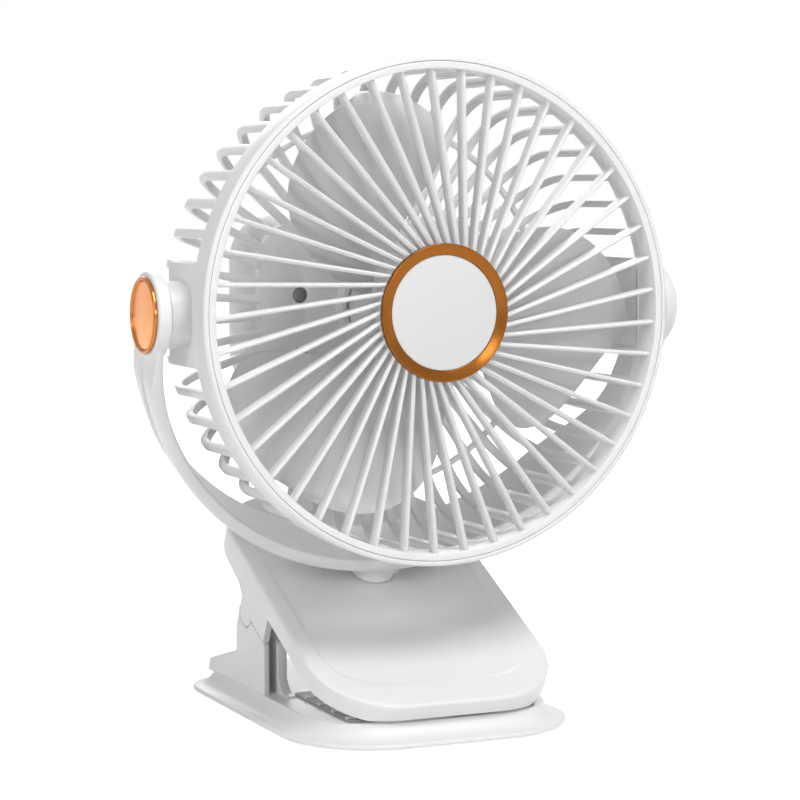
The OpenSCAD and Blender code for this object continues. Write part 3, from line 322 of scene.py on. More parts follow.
skirt_rise = 6.0
skirt_r = (skirt_w ** 2 + skirt_rise ** 2) / (2 * skirt_rise)
sweep_angle = np.linspace(0, math.asin(skirt_w / skirt_r), 13)[1:-1]
skirt = np.array([(12.4, 6.1), (12.4, 0.5), (12.2, 0.3), (1.1, 0.3), (0.55, 0.45), (0.15, 0.8), (0.0, 1.3),
                  (0.0, 1.7), (0.12, 2.0), (0.45, 2.25)]
                 + list(zip(skirt_r * np.sin(sweep_angle), 2.3 + skirt_r * (1 - np.cos(sweep_angle))))
                 + [(8.3, 8.0), (8.5, 8.17), (8.8, 8.28), (9.2, 8.3)])
skirt_rings = rounded_frame(base_half_w, base_front, base_rear, base_front_r, base_rear_r, skirt[:, 0], 16)
base_sheets = [(stacked(skirt_rings, skirt[:, 1]), False)]


def seam_z(y):
    """Height of the seam under the lid's cheek, parallel to the lid."""
    return lid_z + y * math.tan(slope) - (hinge_drop + seam_drop + move_gap) / math.cos(slope)


seat, seat_r = np.radians(np.linspace(213.4, 378.0, 22)), knuckle_r + move_gap
cheek = np.concatenate([
    [(30.3, 7.3), (30.3, seam_z(30.3) - 0.5), (30.75, seam_z(30.75))],
    np.stack([hinge_y + seat_r * np.cos(seat), hinge_z + seat_r * np.sin(seat)], -1),
    [(59.7, 30.8), (60.0, 30.2), (60.0, 20.9), (60.4, 20.6), (88.9, 12.75), (89.7, 12.3), (92.0, 8.1),
     (92.0, 7.3)]])
post_turn = np.radians(np.linspace(0, 180, 17))
gusset = np.linspace(0, 1, 9)
gusset_y, gusset_len, gusset_rise = 31.3, 10, 5.6
post_in, post_out = 38, 42
post = np.concatenate([[(gusset_y - gusset_len, 7.8), (hinge_y + 9, 7.8)],
                       np.stack([hinge_y + knuckle_r * np.cos(post_turn),
                                 hinge_z + knuckle_r * np.sin(post_turn)], -1),
                       [(gusset_y, 27.0)],
                       np.stack([gusset_y - gusset_len * gusset,
                                 floor_z + gusset_rise * (0.1 + 0.9 * (1 - gusset) ** 3.2)], -1)])
for one in (plate(cheek, wall_in, wall_out, 0.45), plate(post, post_in, post_out, 0.4)):
    base_sheets += [one, mirrored(one)]
built("base_moulding", base_sheets, white, "base", "white_plastic", "base_body")

# ---------- under the base ----------
# A screwed cover closes the base from below. A thin rubber sheet on it keeps the fan from sliding.
pale = finish("pale_plastic", (0.62, 0.62, 0.62), 0.42, soft_edge=0.25)
rubber = finish("grip_rubber", (0.30, 0.30, 0.305), 0.62, mottle=0.08, grain_scale=900.0, grain_depth=0.05,
                soft_edge=0.2)
steel = finish("steel", (0.60, 0.60, 0.61), 0.26, mottle=0.06, grain_scale=2600.0, grain_depth=0.004,
               soft_edge=0.15, Metallic=1.0)


def dress(material, *nodes):
    """Gives solids that keep their own shape a better surface."""
    for name in nodes:
        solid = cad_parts[name]
        if not solid.material_slots:
            solid.data.materials.append(material)
        for place in solid.material_slots:
            place.material = material


dress(pale, "base_cover")
dress(rubber, "base_pad", "upper_jaw_pad")
dress(steel, "base_screws", "hinge_pin")

# ---------- grip pad ----------
# A soft pad with rounded cross bars lies on the floor between the hinge posts, under the lid.
pad_grey = finish("pad_rubber", (0.36, 0.36, 0.365), 0.6, mottle=0.06, grain_scale=1100.0, grain_depth=0.04)
bar_white = finish("pad_bars", (0.70, 0.70, 0.70), 0.5, mottle=0.04)
pad_half_w, pad_front, pad_rear, pad_t, pad_r = 37.7, -28.0, 26.0, 1.0, 2
bar_w, bar_pitch, bar_low, bar_top = 2.2, 13.0, floor_z + 0.6, floor_z + 1.6
inset, height = soft_edges(floor_z, floor_z + pad_t, 0.3)
pad_sheet = stacked(rounded_frame(pad_half_w, pad_front, pad_rear, pad_r, pad_r, inset, 4), height)
built("grip_sheet", [(pad_sheet, False)], pad_grey, "base", "grip_rubber", "lower_jaw_pad")
bars = []
for y in np.arange(pad_front + 3, pad_rear - bar_w, bar_pitch):
    section = rounded([(y - bar_w / 2, bar_low), (y + bar_w / 2, bar_low), (y + 0.8, bar_top),
                       (y - 0.8, bar_top)], [0.05, 0.05, 0.5, 0.5], 3)
    bars.append(plate(section, -pad_half_w, pad_half_w, 0.04))
built("grip_bars", bars, bar_white, "base", "grip_rubber", "lower_jaw_pad")

# ---------- springs ----------
# Two torsion springs of drawn steel wire sit on the hinge pin. Each has a leg under the lid's liner and
# one on the base's floor, both along the coil's tangents.


def tube(path, r, sides=12):
    """A circle of radius r carried along a path, square to the path's tangent."""
    tangent = np.gradient(path, axis=0)
    tangent /= np.linalg.norm(tangent, axis=1, keepdims=True)
    side = np.array([1.0, 0, 0]) - tangent[:, :1] * tangent
    side /= np.linalg.norm(side, axis=1, keepdims=True)
    other = np.cross(tangent, side)
    a = np.linspace(0, 2 * np.pi, sides, endpoint=False)[None, :, None]
    return path[:, None] + r * (np.cos(a) * side[:, None] + np.sin(a) * other[:, None]), False


wire_r, coil_r, pitch, coil_turns, coil_x = 0.7, 3.05, 2.2, 4, 20
lift, fall = math.radians(30), math.radians(50)
liner_low = 8
start = math.pi / 2 + slope + lift
swing = coil_turns * 2 * math.pi - math.pi / 2 - fall - start
upper_leg = (hinge_drop - liner_low - move_gap - wire_r - coil_r * math.cos(lift)) / math.sin(lift)
lower_leg = (hinge_z - floor_z - move_gap - wire_r - coil_r * math.cos(fall)) / math.sin(fall)
part = np.linspace(0, 1, 160)
turn = start + part * swing
coil = np.stack([coil_x + part * swing / (2 * np.pi) * pitch, hinge_y + coil_r * np.cos(turn),
                 hinge_z + coil_r * np.sin(turn)], -1)
way_in = np.array([0, -np.sin(turn[0]), np.cos(turn[0])])
way_out = np.array([0, -np.sin(turn[-1]), np.cos(turn[-1])])
legs = [coil[:1] - np.array([[upper_leg], [0.7 * upper_leg], [0.3 * upper_leg]]) * way_in, coil,
        coil[-1:] + np.array([[0.3 * lower_leg], [0.7 * lower_leg], [lower_leg]]) * way_out]
spring = tube(np.concatenate(legs), wire_r)
wire = finish("spring_wire", (0.52, 0.52, 0.54), 0.3, mottle=0.1, grain_scale=3000.0, grain_depth=0.003,
              Metallic=1.0)
springs = built("springs", [spring, mirrored(spring)], wire, None, "steel", "torsion_springs")
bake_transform(springs)

# ---------- lid ----------
# The lid is a white moulding with a flat rim round a sunk panel. Its side walls drop into cheek tabs
# with knuckles at the hinge, and a boss takes the yoke's spigot.
tilt_z = 154.607


def tipped(angle, height):
    """Turns points by an angle about X and lifts them: y' = y cos - z sin, z' = y sin + z cos + height."""
    def place(p):
        y, z = p[..., 1], p[..., 2]
        return np.stack([p[..., 0], y * math.cos(angle) - z * math.sin(angle),
                         y * math.sin(angle) + z * math.cos(angle) + height], -1)
    return place


on_lid = tipped(slope, lid_z)
lid_half_w, lid_front, lid_rear, front_r, rear_r = 47.9, -43.8, 99.0, 30.0, 27.0
hinge_u, foot_u = 46.17, 41.881
tab_front, tab_rear, side_depth, tab_depth = 25.48, 40.15, -8.0, -18.7
side_u = np.concatenate([np.linspace(lid_front + front_r, tab_front, 12), [tab_front + 0.02],
                         np.linspace(27, tab_rear, 6),
                         hinge_u - knuckle_r * np.cos(np.linspace(0.05, np.pi - 0.28, 19)), [52.0],
                         np.linspace(53.5, lid_rear - rear_r, 8)])
lid_turn = np.linspace(0, np.pi / 2, 17)


def wall_foot(u):
    """Depth of the side wall's foot: shallow in front, the cheek tab, the knuckle's circle, and behind it
    two straight lines up to the rear."""
    knuckle = -hinge_drop - np.sqrt(np.maximum(knuckle_r ** 2 - (u - hinge_u) ** 2, 0))
    behind = np.interp(u, [hinge_u, 57.63, 104], [-hinge_drop, -12.54, -9.2])
    return np.select([u < tab_front + 0.01, u < tab_rear + 0.03, u < 51.97],
                     [side_depth, tab_depth, knuckle], behind)


def lid_outline(inset, front_inset=None, corner_r=None):
    """The lid's outline seen from above, in from its edge: rear edge, corner, side, corner, front edge.
    The front edge may have its own inset, and its corners their own radius."""
    front = lid_front + (inset if front_inset is None else front_inset)
    fr, rr = (front_r - inset if corner_r is None else corner_r), rear_r - inset
    side, rear = lid_half_w - inset, lid_rear - inset
    first = lid_front + front_r
    along = side_u + (front + fr - first) * np.clip((tab_front - side_u) / (tab_front - first), 0, 1)
    right = np.concatenate([
        np.stack([np.linspace(0, side - rr, 6)[:-1], np.full(5, rear)], -1),
        np.stack([side - rr + rr * np.sin(lid_turn[:-1]), rear - rr + rr * np.cos(lid_turn[:-1])], -1),
        np.stack([np.full(len(side_u), side), along[::-1]], -1),
        np.stack([side - fr + fr * np.cos(lid_turn[1:]), front + fr - fr * np.sin(lid_turn[1:])], -1),
        np.stack([np.linspace(side - fr, 0, 9)[1:], np.full(8, front)], -1)])
    return np.concatenate([right, right[-2:0:-1] * (-1, 1)])


edge_line = lid_outline(0.0)
on_side = (np.abs(edge_line[:, 0]) > lid_half_w - 1e-6) | (edge_line[:, 1] > 60)
wall_low = np.where(on_side, wall_foot(edge_line[:, 1]), side_depth)
lid_foot_z = 9.2
wall_low = np.maximum(wall_low, (lid_foot_z - lid_z - edge_line[:, 1] * math.sin(slope)) / math.cos(slope))


def lid_ring(inset, w):
    """One ring of the lid's shell at a height w above or below the lid's plane."""
    outline = lid_outline(inset)
    return np.concatenate([outline, np.broadcast_to(w, len(outline))[:, None]], -1)


def boss_ring(r, w):
    """A circle round the swivel's axis, whose points face the points of the lid's edge."""
    way = edge_line - (0, foot_u)
    way /= np.linalg.norm(way, axis=1, keepdims=True)
    return np.concatenate([(0, foot_u) + r * way, np.full((len(way), 1), w)], -1)


def panel_ring(t):
    """One ring of the step round the panel, from the rim at 0 to the panel at 1: half a cosine wave."""
    outline = lid_outline(rim_w + step_w * t, front_rim_w + step_w * t, panel_r - step_w * t)
    sink = panel_sink / 2 * (1 - math.cos(math.pi * t))
    return np.concatenate([outline, np.full((len(outline), 1), -sink)], -1)


rim_w, front_rim_w, step_w, panel_sink, panel_r, lid_edge = 5.7, 12.9, 3.0, 0.9, 21.5, 1.2
lid_wall, lid_under, spigot_bore, lid_boss_r, lid_boss_low = 2.4, -3.0, 7.05, 11, -5.0
lip_curve = [(0.4, 0.0), (0.12, 0.12), (0.0, 0.4)]
lid_shell = [boss_ring(spigot_bore, -panel_sink)] + [panel_ring(t) for t in np.linspace(1, 0, 11)]
lid_shell += [lid_ring(lid_edge * (1 - math.sin(a)), lid_edge * (math.cos(a) - 1))
              for a in np.linspace(0, np.pi / 2, 7)]
lid_shell += [lid_ring(inset, wall_low + up) for inset, up in lip_curve[::-1]]
lid_shell += [lid_ring(lid_wall - inset, wall_low + up) for inset, up in lip_curve]
lid_shell += [lid_ring(lid_wall, lid_under), boss_ring(lid_boss_r, lid_under),
              boss_ring(lid_boss_r, lid_boss_low), boss_ring(spigot_bore, lid_boss_low)]
built("lid_moulding", [(on_lid(np.array(lid_shell)), True)], white, "lid", "white_plastic", "clip_lid",
      crease=30)
dress(pale, "clip_liner")
dress(steel, "liner_screws")

# ---------- yoke ----------
# The yoke is one round white arm: a band that widens backwards at its foot, with a leaf-shaped hollow
# on each side, two bosses that carry the head, and a spigot that turns in the lid.
band_out, band_in, band_half_w, band_rear_w, boss_r = 105.367, 100.367, 8.5, 21.0, 15.56
boss_t, boss_proud, yoke_lean = 4.8, 1.2, math.radians(20)
boss_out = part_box("yoke")[1].x / millimetre
boss_in, arm_out = boss_out - boss_t, boss_out - boss_proud
on_yoke = tipped(yoke_lean, tilt_z)
angle = np.radians(np.linspace(-88.5, 88.5, 241))[:, None]
z = -band_out * np.cos(angle)
front_w = np.interp(z, [-200, -40, -4, 0], [band_half_w, band_half_w, 14.3, 14.3])
sweep = np.clip((-40 - z) / (0.74 * band_out - 40), 0, 1)
rear_w = front_w + (band_rear_w - band_half_w) * (1 - np.cos(np.pi * sweep)) / 2
outer = np.minimum(band_out, arm_out / np.maximum(np.abs(np.sin(angle)), 0.1))
leaf_z, leaf_half_len, leaf_half_w, leaf_y = -41.56, 22.0, 3.25, 0.5
leaf_r = (leaf_half_len ** 2 + leaf_half_w ** 2) / (2 * leaf_half_w)
leaf = np.sqrt(np.maximum(leaf_r ** 2 - (z - leaf_z) ** 2, 0)) - (leaf_r - leaf_half_w)
leaf = np.maximum(leaf, 0.0)
edge = 1.0
turn = np.linspace(0, np.pi / 2, 5)[None] + 0 * angle
hollow = np.minimum(leaf / 0.5, 1.0)
face_y = [leaf + 0.7, leaf + 0.25, leaf, np.maximum(leaf - 0.25, 0), np.maximum(leaf - 0.55, 0), 0 * leaf]
face_depth = [share * hollow for share in (0, 0.04, 0.25, 1.6, 1.85, 1.9)]
across = [leaf_y + part for part in face_y] + [leaf_y - part for part in face_y[-2::-1]]
depth = face_depth + face_depth[-2::-1]
y = np.concatenate([rear_w - edge + edge * np.sin(turn[:, ::-1]), np.concatenate(across, 1),
                    -front_w + edge - edge * np.sin(turn), -front_w + edge - edge * np.cos(turn),
                    rear_w - edge + edge * np.sin(turn)], 1)
r = np.concatenate([outer - edge + edge * np.cos(turn[:, ::-1]), outer - np.concatenate(depth, 1),
                    outer - edge + edge * np.cos(turn), band_in + edge - edge * np.sin(turn),
                    band_in + edge - edge * np.cos(turn)], 1)
band = np.stack([r * np.sin(angle), y, -r * np.cos(angle)], -1)
yoke_sheets = [(on_yoke(band), False)]


def turned(profile, place, steps=96, rows_close=False):
    """A profile of (radius, height) pairs carried round an axis: (r cos a, r sin a, h)."""
    profile = np.asarray(profile, float)
    a = np.linspace(0, 2 * np.pi, steps, endpoint=False)
    r, h = profile[:, :1], profile[:, 1:]
    return place(np.stack([r * np.cos(a), r * np.sin(a), h + 0 * a], -1)), rows_close


def on_axle(p):
    """Puts a turned shape on the tilt axis, with its height running along X."""
    return np.stack([p[..., 2], p[..., 0], p[..., 1] + tilt_z], -1)


def on_foot(p):
    """Puts a turned shape on the swivel axis, with its height square to the lid."""
    return on_lid(p + (0, foot_u, 0))


pivot_bore, cap_seat_r, cap_seat_depth = 3.05, 8.0, 3
boss = rounded([(pivot_bore, boss_in), (boss_r, boss_in), (boss_r, boss_out), (cap_seat_r, boss_out),
                (cap_seat_r, boss_out - cap_seat_depth), (pivot_bore, boss_out - cap_seat_depth)],
               [0.2, 0.6, 0.9, 0.2, 0.1, 0.1])
boss_sheet = turned(boss, on_axle, rows_close=True)
spigot_r, foot_r, foot_top, screw_bore, spigot_end = 7, 8.5, 5.5, 1.62, -5.05
foot = rounded([(0, foot_top), (0, -3), (screw_bore, -3), (screw_bore, spigot_end), (spigot_r, spigot_end),
                (spigot_r, -0.55), (foot_r, -0.55), (foot_r, 2.0), (11.5, foot_top)],
               [0, 0, 0, 0.1, 0.3, 0.1, 0.5, 2.0, 0])
yoke_sheets += [boss_sheet, mirrored(boss_sheet), turned(foot[2:], on_foot, 64)]
built("yoke_arm", yoke_sheets, white, "yoke", "white_plastic", "yoke")
dress(steel, "swivel_washer", "swivel_screw")

# ---------- copper-coloured trim ----------
# A dished cap hides each pivot screw, and a sloping ring frames the hub. The ring and the left cap are
# thin copper-coloured stampings with a fine brushed grain, and the right cap is plain white. The copper
# is given three tones: the left cap's face light, its bezel darker and the ring darkest. The darker
# tones are painted shade for the dark reflections on the metal.


def brushed(name, colour, roughness, axis, spread):
    """A brushed metal: the finish above with its highlights drawn out across the turning marks."""
    made = finish(name, colour, roughness, mottle=0.05, grain_scale=2400.0, grain_depth=0.003,
                  **{"Metallic": 1.0, "Anisotropic": spread, "Anisotropic Rotation": 0.25})
    tree = made.node_tree
    marks = new_node(tree, "ShaderNodeTangent", direction_type="RADIAL", axis=axis)
    shader = next(one for one in tree.nodes if one.type == "BSDF_PRINCIPLED")
    tree.links.new(marks.outputs[0], shader.inputs["Tangent"])
    return made


copper_disc = brushed("copper_disc", (0.85, 0.36, 0.12), 0.3, "X", 0.3)
# The bezel's and the ring's base colours are darkened copper: painted shade for the metal's dark reflections.
copper_bezel_painted_shade = brushed("copper_bezel_painted_shade", (0.44, 0.16, 0.04), 0.2, "X", 0.4)
copper_ring_painted_shade = brushed("copper_ring_painted_shade", (0.24, 0.085, 0.016), 0.24, "Y", 0.85)
bezel_line = rounded(np.add([(11.9, 0.35), (11.9, 0), (13.7, 0), (13.7, 1.4), (12.6, 1.4), (12.1, 0.35)],
                            (0, boss_out)), [0, 0.05, 0.15, 0.6, 0.3, 0.1])
cap_line = rounded(np.add([(0, 0.85), (0, -0.6), (7.95, -0.6), (7.95, 0), (12.05, 0), (12.05, 0.75)],
                          (0, boss_out)), [0, 0, 0.1, 0.05, 0.05, 0.3])
disc_sheet, bezel_sheet = turned(cap_line, on_axle), turned(bezel_line, on_axle, rows_close=True)
built("cap_right", [disc_sheet, bezel_sheet], white, "yoke", "white_plastic", "pivot_cap_right")
built("cap_left", [mirrored(disc_sheet)], copper_disc, "yoke", "copper_trim", "pivot_cap_left")
built("cap_left_bezel", [mirrored(bezel_sheet)], copper_bezel_painted_shade, "yoke", "copper_trim", "pivot_cap_left")


def on_head(p):
    """The head's own frame, x to the right, y up and z forwards, put on the tilt axis."""
    return np.stack([p[..., 0], -p[..., 2], p[..., 1] + tilt_z], -1)


hub_face = 26.8
ring_section = rounded([(20.9, hub_face), (25.0, hub_face), (25.0, 28.9), (20.9, 28.0)],
                       [0.1, 0.1, 0.35, 0.2])
built("hub_ring", [turned(ring_section, on_head, 144, True)], copper_ring_painted_shade, "head", "copper_trim",
      "hub_trim_ring")

# ---------- hub cap ----------
# A plain pale disc with a soft edge, pressed into the grille's hub inside the copper ring.
disc_white = finish("cap_plastic", (0.74, 0.735, 0.735), 0.42, mottle=0.01)
disc_section = rounded([(0, 27.86), (0, 25.2), (2, 25.2), (2, hub_face), (20.85, hub_face), (20.85, 27.78)],
                       [0, 0, 0.1, 0.05, 0.05, 0.3])
built("hub_disc", [turned(disc_section, on_head, 96)], disc_white, "head", "cap_plastic", "hub_cap")

# ---------- front grille ----------
# One moulding: an outer ring, a hub and 45 slanting ribs. Each rib has a ridge along its front and a
# chisel end at the ring.
rib_count, rib_offset, rib_half, rib_back = 45, 10.0, 0.775, 21.1
rib_root_r, rib_fade, rib_end = 23.6, 86.2, 87.3
along = np.concatenate([[math.sqrt(rib_root_r ** 2 - rib_offset ** 2)], np.linspace(24, rib_fade, 12),
                        np.linspace(rib_fade + 0.2, rib_end, 5)])
fade = np.clip((along - rib_fade) / (rib_end - rib_fade), 0, 1)[:, None]
section = rounded([(-rib_half, 0), (rib_half, 0), (rib_half, 4.7), (0, 6), (-rib_half, 4.7)],
                  [0.2, 0.2, 0.16, 0.07, 0.16], 2)
rib_y = -rib_offset + section[:, 0] * np.ones_like(fade)
rib_z = rib_back + section[:, 1] - fade * np.maximum(section[:, 1] - 3.6, 0) * 0.45
rib = np.stack([along[:, None] + 0 * rib_y, rib_y, rib_z], -1)
rib_turn = np.radians(11.14 + np.arange(rib_count) * 360 / rib_count)[:, None, None]
ribs = np.stack([rib[None, ..., 0] * np.cos(rib_turn) - rib[None, ..., 1] * np.sin(rib_turn),
                 rib[None, ..., 0] * np.sin(rib_turn) + rib[None, ..., 1] * np.cos(rib_turn),
                 rib[None, ..., 2] + 0 * rib_turn], -1)
ring_in, ring_out, ring_back, head_front = 87.35, 89.95, 19.6, 28.0
grille_ring = rounded([(ring_in, ring_back), (ring_out, ring_back), (ring_out, head_front),
                       (ring_in, head_front)], [0.3, 0.3, 0.4, 0.35])
hub_section = rounded([(2.05, 24.8), (22.5, 24.8), (22.5, 20.1), (24.5, 20.1), (24.5, hub_face),
                       (2.05, hub_face)], [0.1, 0.3, 0.3, 0.3, 0.2, 0.1])
grille_sheets = [(on_head(one), False) for one in ribs]
grille_sheets += [turned(grille_ring, on_head, 180, True), turned(hub_section, on_head, 96, True)]
built("grille_moulding", grille_sheets, white, "head", "white_plastic", "front_grille")

# ---------- rear cage ----------
# One moulding: the rim with its rounded front edge and a ledge for the grille, 48 bent ribs, a ring that
# ties them, the motor plate, and two side pads with necks for the tilt joint.
rim_r, rim_bore, rim_back, ledge_z = 92, 90.1, 15, 19.45
rim_section = rounded([(ring_in, rim_back), (rim_r, rim_back), (rim_r, head_front), (rim_bore, head_front),
                       (rim_bore, ledge_z), (ring_in, ledge_z)], [0.4, 0.7, 1.3, 0.3, 0.1, 0.4], 5)
cage_sheets = [turned(rim_section, on_head, 180, True)]
tie_in, tie_out, tie_back, tie_front = 68.9, 71.1, -37.0, -34.7
tie_section = rounded([(tie_in, tie_back), (tie_out, tie_back), (tie_out, tie_front), (tie_in, tie_front)],
                      0.5, 3)
cage_sheets.append(turned(tie_section, on_head, 144, True))

cage_ribs = 48
cage_angle = np.radians((np.arange(cage_ribs) + 0.5) * 360 / cage_ribs)
case_w, case_h, case_r, case_front, case_back = 48.0, 32.0, 15.0, 37.5, 59.5
span = np.linspace(25, 75, 501)[None]
box_x = np.abs(span * np.cos(cage_angle)[:, None]) - (case_w - case_r)
box_y = np.abs(span * np.sin(cage_angle)[:, None]) - (case_h - case_r)
outside = (np.hypot(np.maximum(box_x, 0), np.maximum(box_y, 0))
           + np.minimum(np.maximum(box_x, box_y), 0) - case_r)
rib_stop = span[0, np.argmax(outside > -1.5, axis=1)]
bend_r, rib_path_r, rib_path_front, rib_path_back, bar_half = 18.0, 88.6, 16.2, -35.8, 1.5
bend = np.linspace(0, np.pi / 2, 13)
path_r = np.concatenate([[rib_path_r], rib_path_r - bend_r + bend_r * np.cos(bend), [0.0]])
path_z = np.concatenate([[rib_path_front], bend_r + rib_path_back - bend_r * np.sin(bend), [rib_path_back]])
lean_r = np.concatenate([[1], np.cos(bend), [0]])
lean_z = np.concatenate([[0], -np.sin(bend), [-1]])
bar = rounded([(-bar_half, -bar_half), (bar_half, -bar_half), (bar_half, bar_half), (-bar_half, bar_half)],
              0.45, 2)
rib_r = path_r[:, None] + lean_r[:, None] * bar[:, 1]
rib_z = path_z[:, None] + lean_z[:, None] * bar[:, 1]
for angle, end in zip(cage_angle, rib_stop):
    r = np.concatenate([rib_r[:-1], np.full((1, len(bar)), end)])
    p = np.stack([r * math.cos(angle) - bar[:, 0] * math.sin(angle),
                  r * math.sin(angle) + bar[:, 0] * math.cos(angle), rib_z], -1)
    cage_sheets.append((on_head(p), False))

neck_len, neck_r, neck_bore, washer_t, side_t, side_half_h = 8.0, 12, 3.02, 0.75, 3.6, 18.7
pad_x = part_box("friction_washers")[1].x / millimetre - washer_t - neck_len
side_pad = rounded([(-15.5, tilt_z - side_half_h), (15, tilt_z - side_half_h), (15, tilt_z + side_half_h),
                    (-15.5, tilt_z + side_half_h)], [0.3, 1.5, 1.5, 0.3])
neck = rounded([(neck_bore, pad_x - 2), (neck_r, pad_x - 2), (neck_r, pad_x + neck_len),
                (neck_bore, pad_x + neck_len)], [0.1, 0.1, 0.7, 0.1])
for one in (plate(side_pad, pad_x - side_t, pad_x, 0.7), turned(neck, on_axle, 72, True)):
    cage_sheets += [one, mirrored(one)]
collar_in, collar_out, collar_back, collar_front = 14.15, 16.5, -35, -28.5
collar = rounded([(collar_in, collar_back), (collar_out, collar_back), (collar_out, collar_front),
                  (collar_in, collar_front)], 0.3)
cage_sheets.append(turned(collar, on_head, 72, True))
built("cage_moulding", cage_sheets, white, "head", "white_plastic", "rear_cage")


def pierced(outline, holes, low, high, edge):
    """A slab with round holes. Rings round its outline and round each hole give the walls, and a Delaunay
    fill between the last rings gives the two faces. Holes are (x, y, r)."""
    inset, height = soft_edges(low, high, edge)
    walls = [stacked(drawn_in(outline, inset), height)]
    turn = np.linspace(0, 2 * np.pi, 32, endpoint=False)
    for x, y, r in holes:
        circle = np.stack([np.cos(turn), np.sin(turn)], -1)[None] * (r + inset[:, None, None] * 0.5) + (x, y)
        walls.append(stacked(circle, height))
    points, faces, first = [], [], 0
    for wall in walls:
        made, index = grid_faces(wall, first)
        faces += made
        points.append(wall.reshape(-1, 3))
        first += index.size
    for row, level in ((0, low), (-1, high)):
        loops = [wall[row, :, :2] for wall in walls]
        flat = np.concatenate(loops)
        ends = np.cumsum([0] + [len(one) for one in loops])
        rings = [list(range(a, b)) for a, b in zip(ends[:-1], ends[1:])]
        sides = [(ring[i], ring[(i + 1) % len(ring)]) for ring in rings for i in range(len(ring))]
        found, _, fill, *_ = delaunay_2d_cdt([Vector(p) for p in flat.tolist()], sides, rings[:1], 1, 1e-7)
        found = np.array([tuple(p) for p in found])
        fill = np.array(fill)
        middle = found[fill].mean(1)
        keep = np.ones(len(fill), bool)
        for x, y, r in holes:
            keep &= np.hypot(middle[:, 0] - x, middle[:, 1] - y) > 0.994 * (r + 0.5 * edge)
        faces += (fill[keep] + first).tolist()
        points.append(np.concatenate([found, np.full((len(found), 1), level)], -1))
        first += len(found)
    return np.concatenate(points), faces


def case_frame(inset):
    """The outline that the motor plate and the housing share, at each inset."""
    return rounded_frame(case_w, -case_h, case_h, case_r, case_r, inset)


screw_holes = [(x, y, 2.95) for y in (4.5, -18) for x in (30.7, -30.7)]
plate_t = 3
points, faces = pierced(case_frame([0.0])[0], screw_holes, -case_front, plate_t - case_front, 0.6)
placed("motor_plate", on_head(points), faces, white, "head", ["rear_cage"])

# ---------- rear housing ----------
# A box on the back of the cage holds the motor, two cells and the board. It flares a little towards the
# back, and its back edge is rounded. It is screwed on from the front, through the motor plate.
flare, case_wall, back_r = 3, 2.0, 3
run = np.linspace(0, 1, 5)[1:]
case_turn = np.linspace(0, np.pi / 2, 7)[1:]
case_len = case_back - case_front
case_inset = np.concatenate([[case_wall, 0.25, 0.0], -flare * run, -flare + back_r * (1 - np.cos(case_turn))])
case_depth = case_front + np.concatenate([[0, 0, 0.25], (case_len - back_r) * run,
                                          case_len - back_r + back_r * np.sin(case_turn)])
case_outer = stacked(case_frame(case_inset), -case_depth)
case_inner = stacked(case_frame([case_wall, -1.0, -0.6, 0.0]),
                     np.array([0, 3.5, 2.3, case_wall]) - [case_front, case_back, case_back, case_back])
button_hole, lens_hole = (-37, -8, 6.3), (-37, 16, 1.75)
back_outline = case_frame([0.0])[0]
points, faces = pierced(back_outline, [button_hole, lens_hole], -case_back, case_wall - case_back, 0.0)
case_white = finish("case_plastic", (0.80, 0.80, 0.805), 0.4, grain_scale=1100.0, grain_depth=0.03)
case_points, first = [points], len(points)
for wall in (case_outer, case_inner):
    made, index = grid_faces(wall, first)
    faces += made
    case_points.append(wall.reshape(-1, 3))
    first += index.size
placed("housing_shell", on_head(np.concatenate(case_points)), faces, case_white, "head",
       ["rear_housing"])
dress(steel, "housing_screws", "motor_screws", "pivot_screws", "charge_socket")

# ---------- motor, cells and board ----------
# Everything in the housing keeps its own shape: a steel motor with its magnets and bushes, two wrapped
# cells on a tray, a green board with its switch, and the charging socket.
dark = finish("dark_plastic", (0.05, 0.05, 0.052), 0.5, mottle=0.08, soft_edge=0.15)
dress(dark, "friction_washers", "battery_tray")
dress(finish("motor_steel", (0.55, 0.55, 0.56), 0.32, mottle=0.08, grain_scale=2000.0, soft_edge=0.3,
             Metallic=1.0), "motor_can", "motor_shaft")
dress(finish("magnet", (0.06, 0.06, 0.065), 0.7, mottle=0.2, grain_scale=1200.0, grain_depth=0.05,
             soft_edge=0.1), "motor_magnets")
dress(finish("bronze", (0.55, 0.36, 0.16), 0.4, mottle=0.15, grain_scale=2200.0, grain_depth=0.02,
             Metallic=1.0), "motor_bearings")
dress(finish("winding", (0.42, 0.16, 0.06), 0.35, mottle=0.25, grain_scale=1800.0, grain_depth=0.06,
             Metallic=0.6), "motor_rotor")
dress(finish("cell_wrap", (0.10, 0.22, 0.42), 0.25, mottle=0.05, soft_edge=0.4), "battery_cells")
dress(finish("board", (0.02, 0.17, 0.07), 0.35, mottle=0.3, mottle_scale=220.0, soft_edge=0.1),
      "control_board")
dress(finish("lens", (0.75, 0.78, 0.80), 0.15, mottle=0.02, **{"Transmission Weight": 0.6}),
      "indicator_lens")

# ---------- speed button ----------
# A round push button with a dished face stands in the back of the housing.
dress(finish("button_plastic", (0.66, 0.66, 0.665), 0.38, soft_edge=0.5), "speed_button")

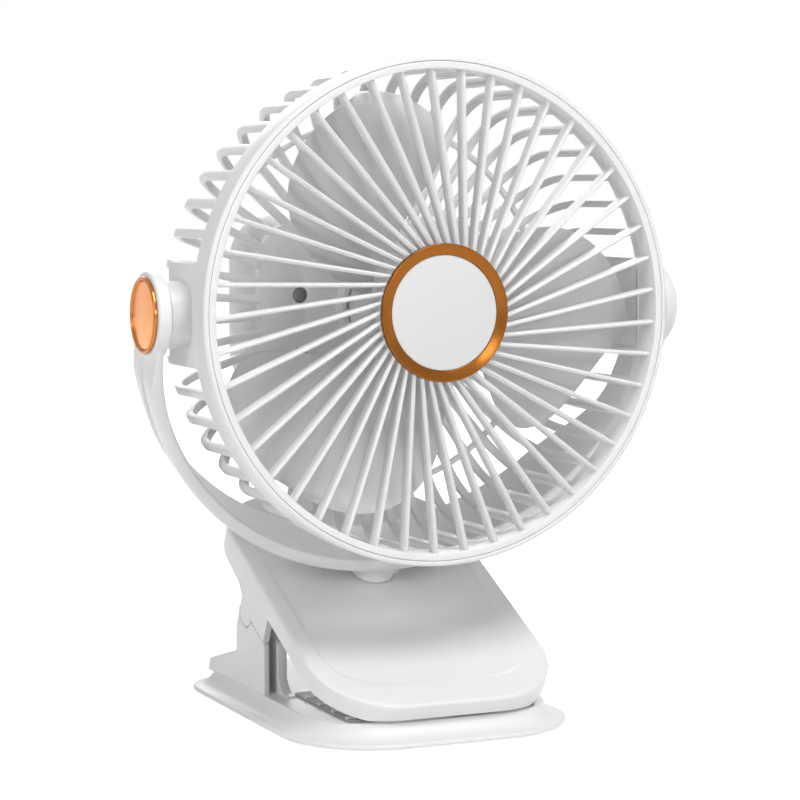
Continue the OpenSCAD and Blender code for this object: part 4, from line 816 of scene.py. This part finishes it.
# ---------- impeller ----------
# Three broad curved blades stand on a cup-shaped hub, moulded in one piece in a pale grey.
blade_white = finish("blade_plastic", (0.68, 0.68, 0.685), 0.42)
hub_front, hub_depth, hub_r, tip_r, root_r, wide_r = 12.0, 20.0, 22, 82.0, 20.8, 49.2
half_chord, tip_rise, camber, blade_half_t, bend_mid = 39.5, 14.1, 2.4, 0.9, 50


def blade(turn):
    """r runs from the root to the tip and c across the chord. The blade's middle line bends with r, its
    half angle narrows to the tip as a root of a power, and its depth rises across the chord. Round the
    chord the surface follows a flat oval, so both edges are rounded."""
    t = np.linspace(0, 1, 49)[:, None]
    lap = np.linspace(0, 2 * np.pi, 72, endpoint=False)[None]
    c = 0.5 - 0.5 * np.sign(np.cos(lap)) * np.abs(np.cos(lap)) ** 0.8
    side = np.sign(np.sin(lap)) * np.abs(np.sin(lap)) ** 0.35
    r = root_r + (tip_r - root_r) * (1 - (1 - t) ** 1.7)
    middle = -3.5 - 0.48 * (r - bend_mid) + 0.0069 * (r - bend_mid) ** 2
    far = np.clip((r - wide_r) / (tip_r + 0.3 - wide_r), 0, 1)
    fullness = np.where(r > wide_r, np.sqrt(np.maximum(0.004, 1 - far ** 2.3)),
                        1 - 0.22 * ((wide_r - r) / (wide_r - root_r)) ** 2)
    a = np.radians(middle + (2 * c - 1) * half_chord * fullness + turn)
    rise = hub_front - hub_depth / 2 + (2 * c - 1) * ((hub_depth / 2 - 1.8) * (1 - t) + tip_rise * t)
    rise = rise + camber * np.sin(np.pi * c) * t + side * blade_half_t * (1 - 0.35 * t)
    return on_head(np.stack([r * np.cos(a), r * np.sin(a), rise], -1)), False


hub_wall, hub_back = 2, hub_front - hub_depth
hub = rounded([(0, hub_front), (0, hub_front - hub_wall), (hub_r - hub_wall, hub_front - hub_wall),
               (hub_r - hub_wall, hub_back), (hub_r, hub_back), (hub_r, hub_front)],
              [0, 0, 0.4, 0.3, 0.3, 1.6])
impeller_sheets = [blade(turn) for turn in (0, 120, 240)] + [turned(hub, on_head, 96)]
boss_section = rounded([(1.52, 9.6), (1.52, 4.6), (4, 4.6), (4, 11)], [0.1, 0.1, 0.3, 0.1])
impeller_sheets.append(turned(boss_section, on_head, 48))
built("impeller_moulding", impeller_sheets, blade_white, "rotor", "blade_plastic", "impeller",
      crease=50)
